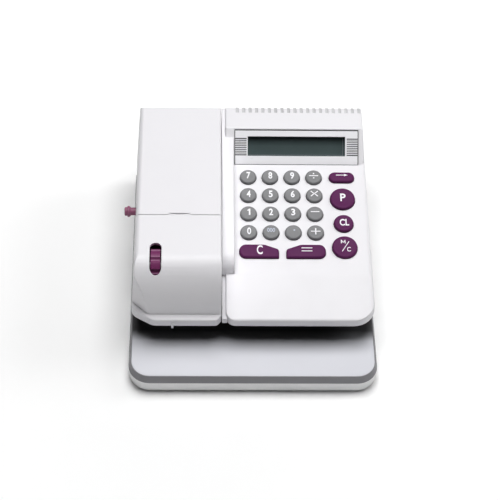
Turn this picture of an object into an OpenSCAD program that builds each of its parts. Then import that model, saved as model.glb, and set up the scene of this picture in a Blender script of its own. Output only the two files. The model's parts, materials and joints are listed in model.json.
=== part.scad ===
// Electronic check writer: a print tower and a keypad head over a paper table.
// X runs to the right, Y to the back, Z up. The origin is the centre of the base at desk level.

/* [Base] */
// Width of the base
base_w = 208; // [200:1:220]
// Depth of the base
base_d = 240; // [234:1:250]
// Radius of the base's front corners
base_front_r = 18; // [10:1:25]
// Radius of the base's rear corners
base_rear_r = 8; // [5:1:14]
// Height of the rubber feet
foot_h = 3; // [2:0.5:6]
// Diameter of the rubber feet
foot_d = 16; // [12:1:20]
// Height of the white tray
tray_h = 10; // [9:0.5:14]
// How far the tray's top edge lies inside the deck's edge
tray_inset = 1; // [0.5:0.5:4]
// How much the tray narrows towards its bottom on each side
tray_draft = 1.5; // [0.5:0.5:5]
// Height of the deck that closes the tray
deck_h = 7; // [6.5:0.5:9]
// Bevel of the deck's edge
deck_bevel = 1.8; // [1:0.2:3]
// Thickness of the paper table plate
table_t = 1.2; // [1:0.1:2]
// Rim of the deck round the paper table plate
table_rim = 0.6; // [0.4:0.1:1.5]
// Wall of the tray and skin of the deck
base_wall = 2.4; // [2:0.2:3]

/* [Head] */
// Gap over the paper table where the cheque goes in
throat_h = 21; // [18:1:26]
// Free depth of the paper table in front of the head
apron_d = 38.5; // [30:0.5:45]
// How far the head lies inside the base on the left and on the right
head_inset = 2; // [1:0.5:6]
// Height of the head from its bottom edge to its flat top
head_h = 55.7; // [52:0.5:60]
// Wall of the head's covers
wall = 2.4; // [2:0.2:3]
// Draft of the head cover's right wall, degrees
body_draft = 5; // [1:0.5:6]
// Depth from the throat's mouth to the pedestal
throat_d = 66.5; // [60:0.5:75]
// Wall of the pedestal
pedestal_wall = 3; // [2:0.5:4]
// Thickness of the head floor
floor_t = 2.5; // [2:0.5:3]
// How far the head floor lies above the covers' bottom edges
floor_recess = 1; // [0.5:0.5:2]

/* [Tower] */
// Width of the print tower
tower_w = 75.2; // [74:0.2:80]
// Draft of the tower's left wall, degrees
tower_draft = 4; // [1:0.5:5]
// How far the lip stands out in front of the tower
lip_out = 5.3; // [4:0.1:7]
// Height of the lip where it meets the tower
lip_h = 9; // [7:0.5:11]
// Depth of the tower's front curve
curve_d = 26.2; // [24:0.2:30]
// Size of the tower's bevelled front corner
corner_cut = 13.4; // [8:0.2:15]
// Width of the channel between the tower and the head cover
channel_w = 3.7; // [3:0.1:5]
// Distance from the lip to the ink door's front seam
door_front_d = 74; // [66:1:80]
// Height of the ink door's side skirts
door_skirt = 12.7; // [11:0.1:14]
// Gap of the ink door's seam
door_gap = 0.4; // [0.3:0.1:0.8]
// Width of the finger scoop in the ink door's front edge
scoop_w = 20; // [14:1:30]
// Depth of the finger scoop
scoop_h = 1.3; // [0.8:0.1:1.6]

/* [Keypad] */
// Slope of the keypad, degrees
keypad_slope = 7.9; // [5:0.1:9]
// Depth of the keypad plane
keypad_d = 110.5; // [108:0.5:116]
// Height of the front lip under the palm rest
palm_lip_h = 7.5; // [6:0.5:9]
// Slope of the display panel, degrees
lcd_slope = 40; // [35:1:45]
// Rise of the display panel from the keypad to the flat top
lcd_rise = 20.7; // [20.5:0.1:22]
// Pitch of the keys
key_pitch = 19; // [18:0.1:19.5]
// Distance from the display panel down to the first row of keys
first_row_d = 14; // [13:0.5:16]
// Share of the panel's free width that lies left of the first column
first_column_share = 0.288; // [0.27:0.01:0.31]
// Diameter of the grey keys
key_d = 14; // [12:0.5:15]
// Height of the keys above the panel
key_h = 2.8; // [2.2:0.1:4]
// Travel of the keys
key_travel = 1.8; // [1:0.1:2]
// Gap between a key and its hole
key_gap = 0.35; // [0.3:0.05:0.6]
// Rim that keeps a key behind the panel
key_flange = 1.2; // [0.8:0.1:1.4]
// Share of the panel's free width between the fourth column and the purple column
side_column_share = 0.357; // [0.34:0.01:0.38]
// Width of the raised rib beside the tower
rib_w = 8.1; // [6:0.1:10]
// Height of the rib above the keypad plane
rib_h = 12.8; // [11:0.2:13.5]

/* [Display] */
// Margin of the panel on the right of the display bezel
bezel_margin = 8.6; // [7.5:0.1:12]
// Margin of the panel above the display bezel
bezel_top_margin = 1.2; // [0.8:0.1:3]
// Thickness of the display bezel
bezel_t = 1.2; // [1:0.1:1.5]
// Width of the display window
window_w = 85.3; // [80:0.1:88]
// Height of the display window
window_h = 17; // [14:0.1:20]
// Depth of the display glass under the bezel's face
window_recess = 3.4; // [3:0.1:5]

/* [Rear] */
// Number of vent slots
vent_count = 20; // [12:1:20]
// Width of a vent slot
vent_w = 2.5; // [1.6:0.1:3]
// Radius of the power inlet's sleeve
inlet_r = 5.4; // [5:0.1:6]
// Width of the power switch
switch_w = 13; // [12:0.5:15]
// Height of the power switch
switch_h = 19; // [18:0.5:21]

/* [Print mechanism] */
// Distance from the tower's right wall to the print line
print_line_d = 30.2; // [30:0.2:31]
// Radius of the type wheel
type_r = 14; // [13:0.5:14.5]
// Width of the type wheel
type_w = 9; // [7:0.5:9.5]
// Number of type blocks
type_count = 12; // [10:1:14]
// Gap between the type wheel and the paper table
print_gap = 4.5; // [3.8:0.1:5]
// Rise of the platen bar
platen_rise = 3.5; // [3:0.1:3.6]
// Radius of the ink roller
ink_r = 8; // [7:0.25:8]
// Radius of the guide rods
rod_r = 2.5; // [2:0.25:2.75]
// Distance of each guide rod from the print line
rod_off = 12.5; // [12.5:0.1:12.8]
// Height of the guide rods above the head floor
rod_lift = 7.5; // [7.3:0.1:8]
// Length of the carriage
carriage_l = 30; // [24:1:34]
// Thickness of the mechanism's sheet steel
sheet_t = 1.5; // [1.2:0.1:2]
// Number of teeth of a belt pulley
pulley_teeth = 15; // [14:1:15]
// Pitch of the toothed belt
belt_pitch = 3; // [2.8:0.1:3]
// Width of the toothed belt
belt_w = 6; // [5:0.5:6]
// Free pitches of the belt between the two pulleys
belt_span = 45; // [43:1:45]
// Radius of the shafts
shaft_r = 2.5; // [2:0.25:3]
// Module of the gear and the pinion
gear_module = 0.8; // [0.75:0.05:0.8]
// Teeth of the motor pinion
pinion_teeth = 12; // [12:1:14]
// Teeth of the drive gear
gear_teeth = 24; // [23:1:24]
// Width of the gear
gear_w = 4; // [3:0.5:4]
// Radius of the drive motor
motor_r = 11; // [10:0.5:11]
// Radius of the thumb wheel
thumb_r = 13; // [12.5:0.25:13.5]
// Width of the thumb wheel
thumb_w = 8; // [6:0.2:8.6]
// Number of finger grooves in the thumb wheel
thumb_grooves = 8; // [6:1:12]
// Gap between the thumb wheel and the sides of its slot
thumb_gap = 0.8; // [0.5:0.1:1]
// Radius of the ink door's hinge rod
hinge_r = 1.5; // [1.5:0.1:1.7]

/* [Cheque guide] */
// Height of the knob above the paper table
knob_z = 50; // [46:1:52]
// Distance of the knob in front of the tower's rear wall
knob_rear_d = 100.8; // [96:0.5:106]
// Radius of the knob's head
knob_r = 3.75; // [3.5:0.25:5]
// Radius of the knob's neck
neck_r = 3.3; // [2.5:0.1:3.4]
// How far the knob stands out of the tower's wall
knob_out = 9.5; // [8:0.5:14]
// Travel of the cheque guide
guide_travel = 5; // [3:0.5:6]
// Length of the cheque guide along the cheque
guide_l = 30; // [20:1:34]

/* [Hidden] */
$fn = 48;

white = [0.93, 0.92, 0.95];
deck_grey = [0.42, 0.42, 0.44];
table_grey = [0.83, 0.83, 0.86];
dark = [0.13, 0.13, 0.14];
key_grey = [0.50, 0.51, 0.53];
purple = [0.38, 0.20, 0.37];
steel = [0.72, 0.73, 0.75];
nylon = [0.88, 0.87, 0.82];
black = [0.06, 0.06, 0.07];
board_green = [0.10, 0.36, 0.20];

slip = 0.3;     // gap between parts that move past each other
seat = 0.03;    // gap of a part in the hole that holds it
run = 0.05;     // gap of a shaft that turns in its bore
far = 400;      // longer than the whole machine

// Levels and places of the housing
z_tray = foot_h;
z_deck = z_tray + tray_h;
z_table = z_deck + deck_h;
z_plate = z_table - table_t;
z_head = z_table + throat_h;
z_top = z_head + head_h;
z_floor = z_head + floor_recess;
z_mech = z_floor + floor_t;
rear_y = base_d / 2;
lip_y = -base_d / 2 + apron_d;
tower_left = -base_w / 2 + head_inset;
tower_right = tower_left + tower_w;
tower_y = lip_y + lip_out;
z_lip = z_head + lip_h;
body_left = tower_right + channel_w;
body_right = base_w / 2 - head_inset;
pedestal_y = lip_y + throat_d;
fit = 0.5;      // gap between the covers' walls and what stands inside them
rib_left = tower_right + 0.4;   // the rib stands close to the tower's wall
panel_back_d = 51;              // from the foot of the display panel to the rear wall

// Places on the keypad and the display panel
foot_z = z_top - lcd_rise;
foot_y = rear_y - panel_back_d;
crease_y = foot_y - keypad_d;
crease_z = foot_z - keypad_d * tan(keypad_slope);
lcd_top_y = foot_y + lcd_rise / tan(lcd_slope);
row_y = foot_y - first_row_d * cos(keypad_slope);
row_z = foot_z - first_row_d * sin(keypad_slope);
body_w = body_right - body_left;
free_w = body_w - 3 * key_pitch;
column_x = body_left + first_column_share * free_w;
side_d = side_column_share * free_w;
bezel_w = body_w - rib_w + 0.4 - bezel_margin;
bezel_h = lcd_rise / sin(lcd_slope) - bezel_top_margin;
bezel_x = body_left + rib_w + bezel_w / 2 - 0.4;
window_u = 0.526 * bezel_h;
vent_pitch = (body_w - 17.7) / (vent_count - 1);

// Ink door and its hinge
door_y = lip_y + door_front_d;
door_z = z_top - door_skirt;
hinge_y = rear_y - 6;
hinge_z = z_top - 5.2;
door_r = norm([rear_y - hinge_y, hinge_z - door_z]);

// Print mechanism
print_x = tower_right - print_line_d;
type_z = z_table + print_gap + type_r;
ink_z = type_z + type_r + ink_r + slip;
rod_z = max(z_mech + rod_lift, type_z + 13.5);
frame_in = rod_off + 5.5;                  // from the print line to a side plate's inner face
frame_left = print_x - frame_in;
frame_right = print_x + frame_in;
pulley_r = pulley_teeth * belt_pitch / (2 * PI);
thumb_x = frame_left - sheet_t - slip - 0.4 - thumb_w / 2;
thumb_z = z_top - thumb_r - 0.7;
front_shaft_y = tower_y + 25.7;
rear_shaft_y = front_shaft_y + belt_span * belt_pitch;
belt_x = print_x + rod_off;
gear_r = gear_module * gear_teeth / 2;
pinion_r = gear_module * pinion_teeth / 2;
gear_x = frame_right + sheet_t + slip + gear_w / 2;
motor_angle = -50;
motor_y = rear_shaft_y + (gear_r + pinion_r + 0.1) * cos(motor_angle);
motor_z = thumb_z + (gear_r + pinion_r + 0.1) * sin(motor_angle);
carriage_front = front_shaft_y + 15.5;     // ends of the carriage's travel
carriage_back = rear_shaft_y - 24.5;
carriage_y = carriage_front + 55;          // rest place of the carriage
knob_y = rear_y - knob_rear_d;
guide_x = tower_left + (z_table + knob_z + 5 - z_head) * tan(tower_draft) + wall + slip + guide_travel + 3.5;

// Depths of the mat and the board under the panel
mat_top = -wall - slip - 1 - key_travel - slip;
mat_t = 1;
pill_h = 0.8;
board_t = 1.6;
pad_left = body_left + 6.6;     // edges of the mat and the board inside the cover's walls
pad_w = body_right - 9.2 - pad_left;
pad_l = 3.774 * key_pitch + 26;
pad_posts = [[3, 3], [pad_w - 3, 3], [3, pad_l - 3], [pad_w - 3, pad_l - 3], [pad_w - 26.5, 3], [pad_w - 34, pad_l - 3]];

KEYS = [
    ["key_7", 0, 0, "round"], ["key_8", 1, 0, "round"],
    ["key_9", 2, 0, "round"], ["key_divide", 3, 0, "round"],
    ["key_4", 0, 1, "round"], ["key_5", 1, 1, "round"],
    ["key_6", 2, 1, "round"], ["key_multiply", 3, 1, "round"],
    ["key_1", 0, 2, "round"], ["key_2", 1, 2, "round"],
    ["key_3", 2, 2, "round"], ["key_minus", 3, 2, "round"],
    ["key_0", 0, 3, "round"], ["key_000", 1, 3, "round"],
    ["key_point", 2, 3, "round"], ["key_plus", 3, 3, "round"],
    ["key_arrow", 4, 0, "arrow"], ["key_p", 4, 1.184, "large"],
    ["key_cl", 4, 2.51, "medium"], ["key_mc", 4, 3.774, "large"],
    ["key_c", 0.45, 4.005, "c"], ["key_equals", 2.545, 4.005, "equals"]];

// ---- Outlines: lists of [x, y, corner radius], counter-clockwise ----

function unit(v) = v / norm(v);
function cross2(a, b) = a[0] * b[1] - a[1] * b[0];
function point(p) = [p[0], p[1]];

// The points of one rounded corner c between its neighbours a and b
function corner(a, c, b, steps = 8) =
    let (u = unit(point(a) - point(c)), v = unit(point(b) - point(c)), half = acos(u * v) / 2)
    c[2] <= 0 || half > 89.9 ? [point(c)] :
    let (middle = point(c) + unit(u + v) * c[2] / sin(half),
        start = point(c) + u * c[2] / tan(half) - middle,
        turn = sign(cross2(-u, v)) * (180 - 2 * half),
        n = max(2, ceil(steps * abs(turn) / 90)))
    [for (i = [0:n]) let (t = turn * i / n)
        middle + [start[0] * cos(t) - start[1] * sin(t), start[0] * sin(t) + start[1] * cos(t)]];

function outline(path) = let (n = len(path))
    [for (i = [0:n - 1]) each corner(path[(i + n - 1) % n], path[i], path[(i + 1) % n])];

// The path moved inwards by d on every side; its fillets stay concentric
function inset(path, d) = let (n = len(path))
    [for (i = [0:n - 1])
        let (c = path[i], e = unit(point(c) - point(path[(i + n - 1) % n])),
            f = unit(point(path[(i + 1) % n]) - point(c)), g = [-e[1] - f[1], e[0] + f[0]],
            shift = g * d / (1 + e * f), grow = cross2(e, f) > 0 ? -d : d)
        [c[0] + shift[0], c[1] + shift[1], c[2] <= 0 ? 0 : max(0, c[2] + grow)]];

// ---- Solids from outlines ----

// An outline in the Y-Z plane, extruded along X
module across(x0, x1, path)
    translate([x0, 0, 0])
        rotate([90, 0, 90])
            linear_extrude(x1 - x0) polygon(outline(path));

// An outline in the X-Y plane, extruded along Z
module upward(z0, z1, path)
    translate([0, 0, z0])
        linear_extrude(z1 - z0) polygon(outline(path));

// An outline in the X-Z plane, extruded along Y
module backward(y0, y1, path)
    translate([0, y1, 0])
        rotate([90, 0, 0])
            linear_extrude(y1 - y0) polygon(outline(path));

// A shaft or bore along X, Y or Z
module along_x(x0, x1, y, z, r)
    translate([x0, y, z])
        rotate([0, 90, 0]) cylinder(h = x1 - x0, r = r);
module along_y(y0, y1, x, z, r)
    translate([x, y1, z])
        rotate([90, 0, 0]) cylinder(h = y1 - y0, r = r);
module along_z(z0, z1, x, y, r)
    translate([x, y, z0]) cylinder(h = z1 - z0, r = r);

// A box from its two corners
module block(a, b)
    translate(a) cube(b - a);

// A slab with round corners whose sides lean in by lean from z0 to z1
module leaning_slab(side, z0, z1, lean) {
    h = z1 - z0;
    x = base_w / 2 - side;
    y = base_d / 2 - side;
    fr = base_front_r - side;
    rr = base_rear_r - side;
    for (s = [-1, 1]) {
        translate([s * (x - fr), -y + fr, z0]) cylinder(h = h, r1 = fr, r2 = fr - lean);
        translate([s * (x - rr), y - rr, z0]) cylinder(h = h, r1 = rr, r2 = rr - lean);
    }
    across(-x + fr, x - fr, [[-y, z0, 0], [0, z0, 0], [0, z1, 0], [-y + lean, z1, 0]]);
    across(-x + rr, x - rr, [[-1, z0, 0], [y, z0, 0], [y - lean, z1, 0], [-1, z1, 0]]);
    backward(-y + fr, y - rr, [[-x, z0, 0], [x, z0, 0], [x - lean, z1, 0], [-x + lean, z1, 0]]);
}

// The same slab, leaning outwards from z0 to z1
module flaring_slab(side, z0, z1, lean)
    translate([0, 0, z0 + z1]) mirror([0, 0, 1]) leaning_slab(side, z0, z1, lean);

// ---- Base ----

// Four feet at the corners and one in the middle, which takes the print pressure
foot_spots = concat([[0, 0]],
    [for (x = [-1, 1], y = [-1, 1]) [x * (base_w / 2 - 24), y * (base_d / 2 - 26)]]);
base_screw_spots = [for (x = [-1, 1], y = [-1, 1]) [x * (base_w / 2 - 14), y * (base_d / 2 - 50)]];
screw_r = 1.5;
screw_head_r = 3;
screw_head_h = 2;
boss_r = 4;
foot_seat = 1;  // depth of the seats that hold the feet

module base_tray() color(white) difference() {
    union() {
        difference() {
            flaring_slab(tray_inset, z_tray, z_deck, tray_draft);
            translate([0, 0, base_wall]) flaring_slab(tray_inset + base_wall, z_tray, z_deck, tray_draft);
        }
        for (p = base_screw_spots) along_z(z_tray + 1, z_deck, p[0], p[1], boss_r);
        for (p = foot_spots) along_z(z_tray + 1, z_tray + base_wall + foot_seat, p[0], p[1], foot_d / 2 + 2);
        for (x = [-40, 0, 40])
            block([x - 0.8, -base_d / 2 + 12, z_tray + 1], [x + 0.8, base_d / 2 - 12, z_tray + 5]);
        for (y = platen_posts) along_z(z_tray + 1, z_deck + 5, print_x, y, 1.7);
    }
    for (p = base_screw_spots) {
        along_z(z_tray - 1, z_deck + 1, p[0], p[1], screw_r + 0.2);
        along_z(z_tray - 1, z_tray + screw_head_h + 0.6, p[0], p[1], screw_head_r + 0.3);
    }
    for (p = foot_spots) along_z(z_tray - 1, z_tray + foot_seat, p[0], p[1], foot_d / 2 + seat);
}

module rubber_feet() color(black)
    for (p = foot_spots) translate([p[0], p[1], 0]) {
        cylinder(h = 1, r1 = foot_d / 2 - 1, r2 = foot_d / 2);
        translate([0, 0, 1]) cylinder(h = foot_h + foot_seat - 1, r = foot_d / 2);
    }

module base_screws() color(steel)
    for (p = base_screw_spots) {
        along_z(z_tray + 0.6, z_tray + screw_head_h + 0.6, p[0], p[1], screw_head_r);
        along_z(z_tray + screw_head_h, z_plate - 1, p[0], p[1], screw_r);
    }

table_side = deck_bevel + table_rim;
platen_w = 12;
platen_front = carriage_front - type_w / 2 - 2;
platen_back = carriage_back + type_w / 2 + 2;
platen_posts = [platen_front + 8, platen_back - 8];

function pedestal_path() = let (far_y = rear_y - 6, left = tower_left + 6, right = body_right - 5)
    [[left, far_y, 4], [left, carriage_back + 33, 4], [body_left, carriage_back + 33, 4],
    [body_left, pedestal_y, 6], [right, pedestal_y, 6], [right, far_y, 4]];

module platen_slot(z0, z1, gap)
    block([print_x - platen_w / 2 - gap, platen_front - gap, z0],
        [print_x + platen_w / 2 + gap, platen_back + gap, z1]);

module base_deck() color(deck_grey) difference() {
    union() {
        difference() {
            leaning_slab(0, z_deck, z_table, deck_bevel);
            leaning_slab(table_side, z_plate, z_table + 1, 0);
            leaning_slab(4.5, z_deck - 1, z_plate - base_wall, 0);
        }
        for (p = base_screw_spots) along_z(z_deck, z_plate - 1, p[0], p[1], boss_r);
        for (y = [-0.375, -0.25] * base_d) block([-base_w / 2 + 4, y - 0.8, z_deck], [base_w / 2 - 4, y + 0.8, z_plate - 1]);
    }
    for (p = base_screw_spots) along_z(z_deck - 1, z_plate - 1, p[0], p[1], screw_r);
    platen_slot(z_deck - 1, z_table, 0.4);
}

module paper_table() color(table_grey) difference() {
    leaning_slab(table_side + 0.1, z_plate, z_table, 0);
    upward(z_plate - 1, z_table + 1, inset(pedestal_path(), -0.3));
    platen_slot(z_plate - 1, z_table + 1, 0.4);
}

module platen_bar() color(dark) difference() {
    block([print_x - platen_w / 2, platen_front, z_deck - 0.5], [print_x + platen_w / 2, platen_back, z_table - 0.1]);
    for (y = platen_posts) along_z(z_deck - 1, z_deck + 5.4, print_x, y, 1.7 + slip);
}

// ---- Pedestal and head floor ----

module pedestal() color(dark) difference() {
    upward(z_plate, z_floor, pedestal_path());
    upward(z_plate - 1, z_floor + 1, inset(pedestal_path(), pedestal_wall));
}

// Places of the head's screws; the third value is where the post's rib meets the cover's wall
body_screws = [[body_left + 8, lip_y + 22, body_left + 1], [body_right - 15, lip_y + 22, body_right - 2],
    [body_left + 9, crease_y + 2, body_left + 1], [body_left + 8, rear_y - 12, rib_left + 1],
    [body_right - 12, rear_y - 42, body_right - 2]];
tower_screws = [[tower_left + 12, tower_y + 25, tower_left + 1.3], [tower_right - 7, tower_y + 6, tower_right - 1],
    [tower_left + 10, carriage_back + 28, tower_left + 1.3], [tower_right - 7, rear_y - 12, tower_right - 1]];
head_screw_spots = concat(body_screws, tower_screws);
post_h = 9;

// A screw post with a rib to the cover's wall
module screw_post(p) {
    along_z(z_mech, z_mech + post_h, p[0], p[1], boss_r);
    block([min(p[0], p[2]), p[1] - 1, z_mech], [max(p[0], p[2]), p[1] + 1, z_mech + post_h]);
}

module tower_plan(z0, z1, d)
    upward(z0, z1, inset(tower_plan_path(), d));
module body_plan(z0, z1, d)
    upward(z0, z1, inset(body_plan_path(), d));

guide_slot_x = [guide_x - 2.6 - guide_travel, guide_x + 0.6];
module guide_slot(z0, z1)
    block([guide_slot_x[0], knob_y - guide_l / 2 - 1.5, z0], [guide_slot_x[1], knob_y + guide_l / 2 + 1.5, z1]);

print_slot = type_r + 1.5;  // half the width of the slot that the print head hangs through
module print_opening(z0, z1, grow)
    block([print_x - print_slot - grow, carriage_front - 12 - grow, z0],
        [print_x + print_slot + grow, carriage_back + 27 + grow, z1]);

module head_floor() color(dark) difference() {
    union() {
        tower_plan(z_floor, z_mech, wall + fit);
        body_plan(z_floor, z_mech, wall + fit);
        block([tower_right - wall - 3, tower_y + 12, z_floor], [body_left + wall + 3, rear_y - wall - 4, z_mech]);
    }
    print_opening(z_floor - 1, z_mech + 1, 1);
    guide_slot(z_floor - 1, z_mech + 1);
    for (p = head_screw_spots) along_z(z_floor - 1, z_mech + 1, p[0], p[1], screw_r + 0.2);
}

module head_screws() color(steel)
    for (p = head_screw_spots) {
        along_z(z_floor - screw_head_h, z_floor, p[0], p[1], screw_head_r);
        along_z(z_floor - 0.5, z_mech + 6, p[0], p[1], screw_r);
    }

// The gap that the head floor's bridge leaves under the covers' inner walls
module bridge_cut()
    block([tower_right - wall - 1, tower_y + 12 - fit, z_head - 1], [body_left + wall + 1, rear_y - wall - 4 + fit, z_mech]);

// ---- Right head cover ----

function body_plan_path() =
    [[body_left, rear_y, 2], [body_left, lip_y, 8.5], [body_right, lip_y, 19], [body_right, rear_y, 7]];

function body_side_path(low) = [
    [lip_y, low, 0], [rear_y, low, 0], [rear_y, z_top, 4], [lcd_top_y, z_top, 2], [foot_y, foot_z, 1],
    [crease_y, crease_z, 30], [lip_y, z_head + palm_lip_h, 2]];

function body_front_path(low) = let (lean = tan(body_draft)) [
    [body_left, low, 0], [body_right + (z_head - low) * lean, low, 0],
    [body_right - (z_top + 5 - z_head) * lean, z_top + 5, 0], [body_left, z_top + 5, 0]];

// A long bar under one sloping top face; it rounds the cover's upper side edges
module crown_bar(y, z, slope, zm) {
    depth = 120;
    flare = depth * tan(14);
    right = body_right - (zm - z_head) * tan(body_draft);
    translate([0, y, z + 0.02])
        rotate([slope, 0, 0])
            backward(-far, far, [[body_left - flare, -depth, 0], [right + flare, -depth, 0],
                [right, 0, 4], [body_left, 0, 1.5]]);
}

palm_slope = atan((crease_z - z_head - palm_lip_h) / (crease_y - lip_y));
module crown() {
    intersection() {
        crown_bar(crease_y, crease_z, palm_slope, (z_head + palm_lip_h + crease_z) / 2);
        crown_bar(crease_y, crease_z, keypad_slope, (crease_z + foot_z) / 2);
    }
    intersection() {
        crown_bar(foot_y, foot_z, lcd_slope, (foot_z + z_top) / 2);
        crown_bar(rear_y, z_top, 0, z_top);
    }
}

module body_solid(d, low) intersection() {
    across(body_left - 5, body_right + 9, inset(body_side_path(low), d));
    body_plan(low - 1, z_top + 1, d);
    backward(lip_y - 5, rear_y + 5, inset(body_front_path(low - 1), d));
}

function rib_path(low) = let (z = crease_z + rib_h) [
    [crease_y, low, 0], [rear_y, low, 0],
    [rear_y, min(z_top - 0.5, z + (rear_y - crease_y) * tan(keypad_slope)), 3], [crease_y, z, 14]];

module rib_solid(d, low)
      across(rib_left + d, body_left - 1 + rib_w - d, inset(rib_path(low), d));

// The narrow ledge along the palm rest's left edge, down in the channel
module channel_ledge()
    intersection() {
        across(tower_right + fit, body_left + 1, inset(body_side_path(z_head - 20), 3));
        difference() {
            block([tower_right, lip_y + 2, z_head], [body_left + 1, crease_y + 2, z_top]);
            across(tower_right - 1, body_left + 2, inset(body_side_path(z_head - 20), 3 + wall));
        }
    }

// Posts under the panel that carry the keypad's board
module panel_posts()
    for (p = pad_posts) on_pad(mat_top - pill_h - mat_t)
        translate(p) cylinder(h = -wall + 0.5 - mat_top + pill_h + mat_t, r = 2);

module vents()
    for (i = [0:vent_count - 1])
        translate([body_left + 10.4 + i * vent_pitch, 0, 0])
            block([-vent_w / 2, rear_y - 7.5, z_top - 14], [vent_w / 2, rear_y + 1, z_top + 1]);

inlet_x = body_left + 42;
switch_x = body_right - 23;
rear_mid_z = z_floor + 18;

// The window in the cover behind the bezel
module on_lcd(u = 0, h = 0)
    translate([bezel_x, foot_y, foot_z])
        rotate([lcd_slope, 0, 0]) translate([0, u, h]) children();

module head_cover() color(white) difference() {
    union() {
        difference() {
            union() {
                intersection() {
                    body_solid(0, z_head);
                    crown();
                }
                rib_solid(0, z_head);
            }
            body_solid(wall, z_head - 5);
            rib_solid(wall, z_head - 5);
        }
        channel_ledge();
        intersection() {
            for (p = body_screws) screw_post(p);
            union() {
                body_solid(0.5, z_head);
                rib_solid(0.5, z_head);
            }
        }
        panel_posts();
    }
    for (k = KEYS) on_key(k) translate([0, 0, -wall - 3]) linear_extrude(wall + 6) key_section(k[3], key_gap);
    on_lcd(0, -bezel_t) translate([-bezel_w / 2, 0, 0]) cube([bezel_w, bezel_h, 10]);
    on_lcd(window_u - window_h / 2 - 2, -10) translate([-window_w / 2 - 2, 0, 0]) cube([window_w + 4, window_h + 4, 12]);
    vents();
    bridge_cut();
    along_y(rear_y - wall - 1, rear_y + 1, inlet_x, rear_mid_z, inlet_r + seat);
    block([switch_x - switch_w / 2 - 0.2, rear_y - wall - 1, rear_mid_z - switch_h / 2 - 0.2],
        [switch_x + switch_w / 2 + 0.2, rear_y + 1, rear_mid_z + switch_h / 2 + 0.2]);
    for (p = body_screws) along_z(z_mech - 1, z_mech + 7, p[0], p[1], screw_r);
}

// ---- Tower cover and ink door ----

function tower_plan_path() = [
    [tower_left, rear_y, 7], [tower_left, tower_y + corner_cut, 10], [tower_left + corner_cut, tower_y, 10],
    [tower_right, tower_y, 2], [tower_right, rear_y, 2]];

function tower_side_path(low) = concat(
    [[tower_y, low, 0], [rear_y, low, 0], [rear_y, z_top, 4]],
    [for (t = [0:6:90])
        [tower_y + curve_d * (1 - sin(t)), z_lip + (z_top - z_lip) * cos(t), 0]]);

function tower_front_path(low) = let (lean = tan(tower_draft)) [
    [tower_left - (z_head - low) * lean, low, 0], [tower_right, low, 0],
    [tower_right, z_top, 2.5], [tower_left + (z_top - z_head) * lean, z_top, 4]];

module tower_solid(d, low) intersection() {
    across(tower_left - 1, tower_right + 1, inset(tower_side_path(low), d));
    tower_plan(low - 1, z_top + 1, d);
    backward(tower_y - 1, rear_y + 1, inset(tower_front_path(low - 1), d));
}

function lip_plan_path() = [
    [tower_left + 0.2, tower_y + 25, 0], [tower_left + 0.2, lip_y + 11, 9], [tower_left + 18, lip_y, 12],
    [tower_right - 3.7, lip_y, 4], [tower_right, tower_y - 0.5, 2], [tower_right, tower_y + 25, 0]];

module lip_solid(d, low) intersection() {
    upward(low - 1, z_lip + 1, inset(lip_plan_path(), d));
    across(tower_left, tower_right, inset([[lip_y, low, 0], [tower_y + 30, low, 0], [tower_y + 30, z_lip, 0],
        [tower_y, z_lip, 0], [lip_y, z_lip - 1.8, 1.5]], d));
}

// The zone of the tower that belongs to the ink door; its rear is round about the hinge
module door_zone(gap) {
    block([tower_left - 5, door_y - gap / 2, door_z - gap / 2], [tower_right + 5, hinge_y, z_top + 5]);
    along_x(tower_left - 5, tower_right + 5, hinge_y, hinge_z, door_r + gap / 2);
}

module thumb_slot()
    translate([thumb_x, front_shaft_y - 1.5, z_top - 30])
        linear_extrude(40) {
            w = thumb_w + 2 * thumb_gap;
            l = 2 * thumb_r + 1;
            square([w, l - w], center = true);
            for (s = [-1, 1]) translate([0, s * (l - w) / 2]) circle(d = w);
        }

lug_t = 3.2;
lug_x = [tower_left + (door_z - z_head) * tan(tower_draft) + wall + 1.4, tower_right - wall - slip - lug_t];

// Two arms of the tower cover that hold the hinge rod
module hinge_arms()
    for (x = lug_x) difference() {
        union() {
            translate([x, hinge_y, hinge_z])
                rotate([20, 0, 0]) translate([0, -15, -2.2]) cube([lug_t, 15, 4.4]);
            along_x(x, x + lug_t, hinge_y, hinge_z, 2.4);
            block([x, rear_y - 22, door_z - 13], [x + lug_t, rear_y - 15, hinge_z - 5]);
        }
        along_x(x - 1, x + lug_t + 1, hinge_y, hinge_z, hinge_r + seat);
    }

module arm_roots() {
    block([tower_left + 1, rear_y - 22, door_z - 13], [lug_x[0] + 1, rear_y - 15, door_z - door_gap / 2 - 0.2]);
    block([lug_x[1] + 1, rear_y - 22, door_z - 13], [tower_right - 1, rear_y - 15, door_z - door_gap / 2 - 0.2]);
}

module tower_cover() color(white) difference() {
    union() {
        difference() {
            union() {
                difference() {
                    union() {
                        tower_solid(0, z_head);
                        lip_solid(0, z_head);
                    }
                    tower_solid(wall, z_head - 5);
                    lip_solid(wall, z_head - 5);
                }
                intersection() {
                    arm_roots();
                    tower_solid(0.5, z_head);
                }
                intersection() {
                    for (p = tower_screws) screw_post(p);
                    tower_solid(0.5, z_head);
                }
                pointer();
            }
            door_zone(door_gap);
            thumb_slot();
            bridge_cut();
        }
        hinge_arms();
    }
    along_x(tower_left - 5, tower_left + 20, knob_y, z_table + knob_z, neck_r + slip);
    for (p = tower_screws) along_z(z_mech - 1, z_mech + 7, p[0], p[1], screw_r);
}

// The small mark on the lip that shows the print line's start
pointer_x = tower_left + 34.5;
module pointer()
    across(pointer_x - 1, pointer_x + 1, [[lip_y - 0.8, z_head - 2.5, 0], [lip_y + wall, z_head + 1, 0],
        [lip_y + wall, z_lip - 3, 0], [lip_y - 0.8, z_lip - 4, 0]]);

door_ears = [lug_x[0] + lug_t + 0.4, lug_x[1] - lug_t - 0.4];

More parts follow.
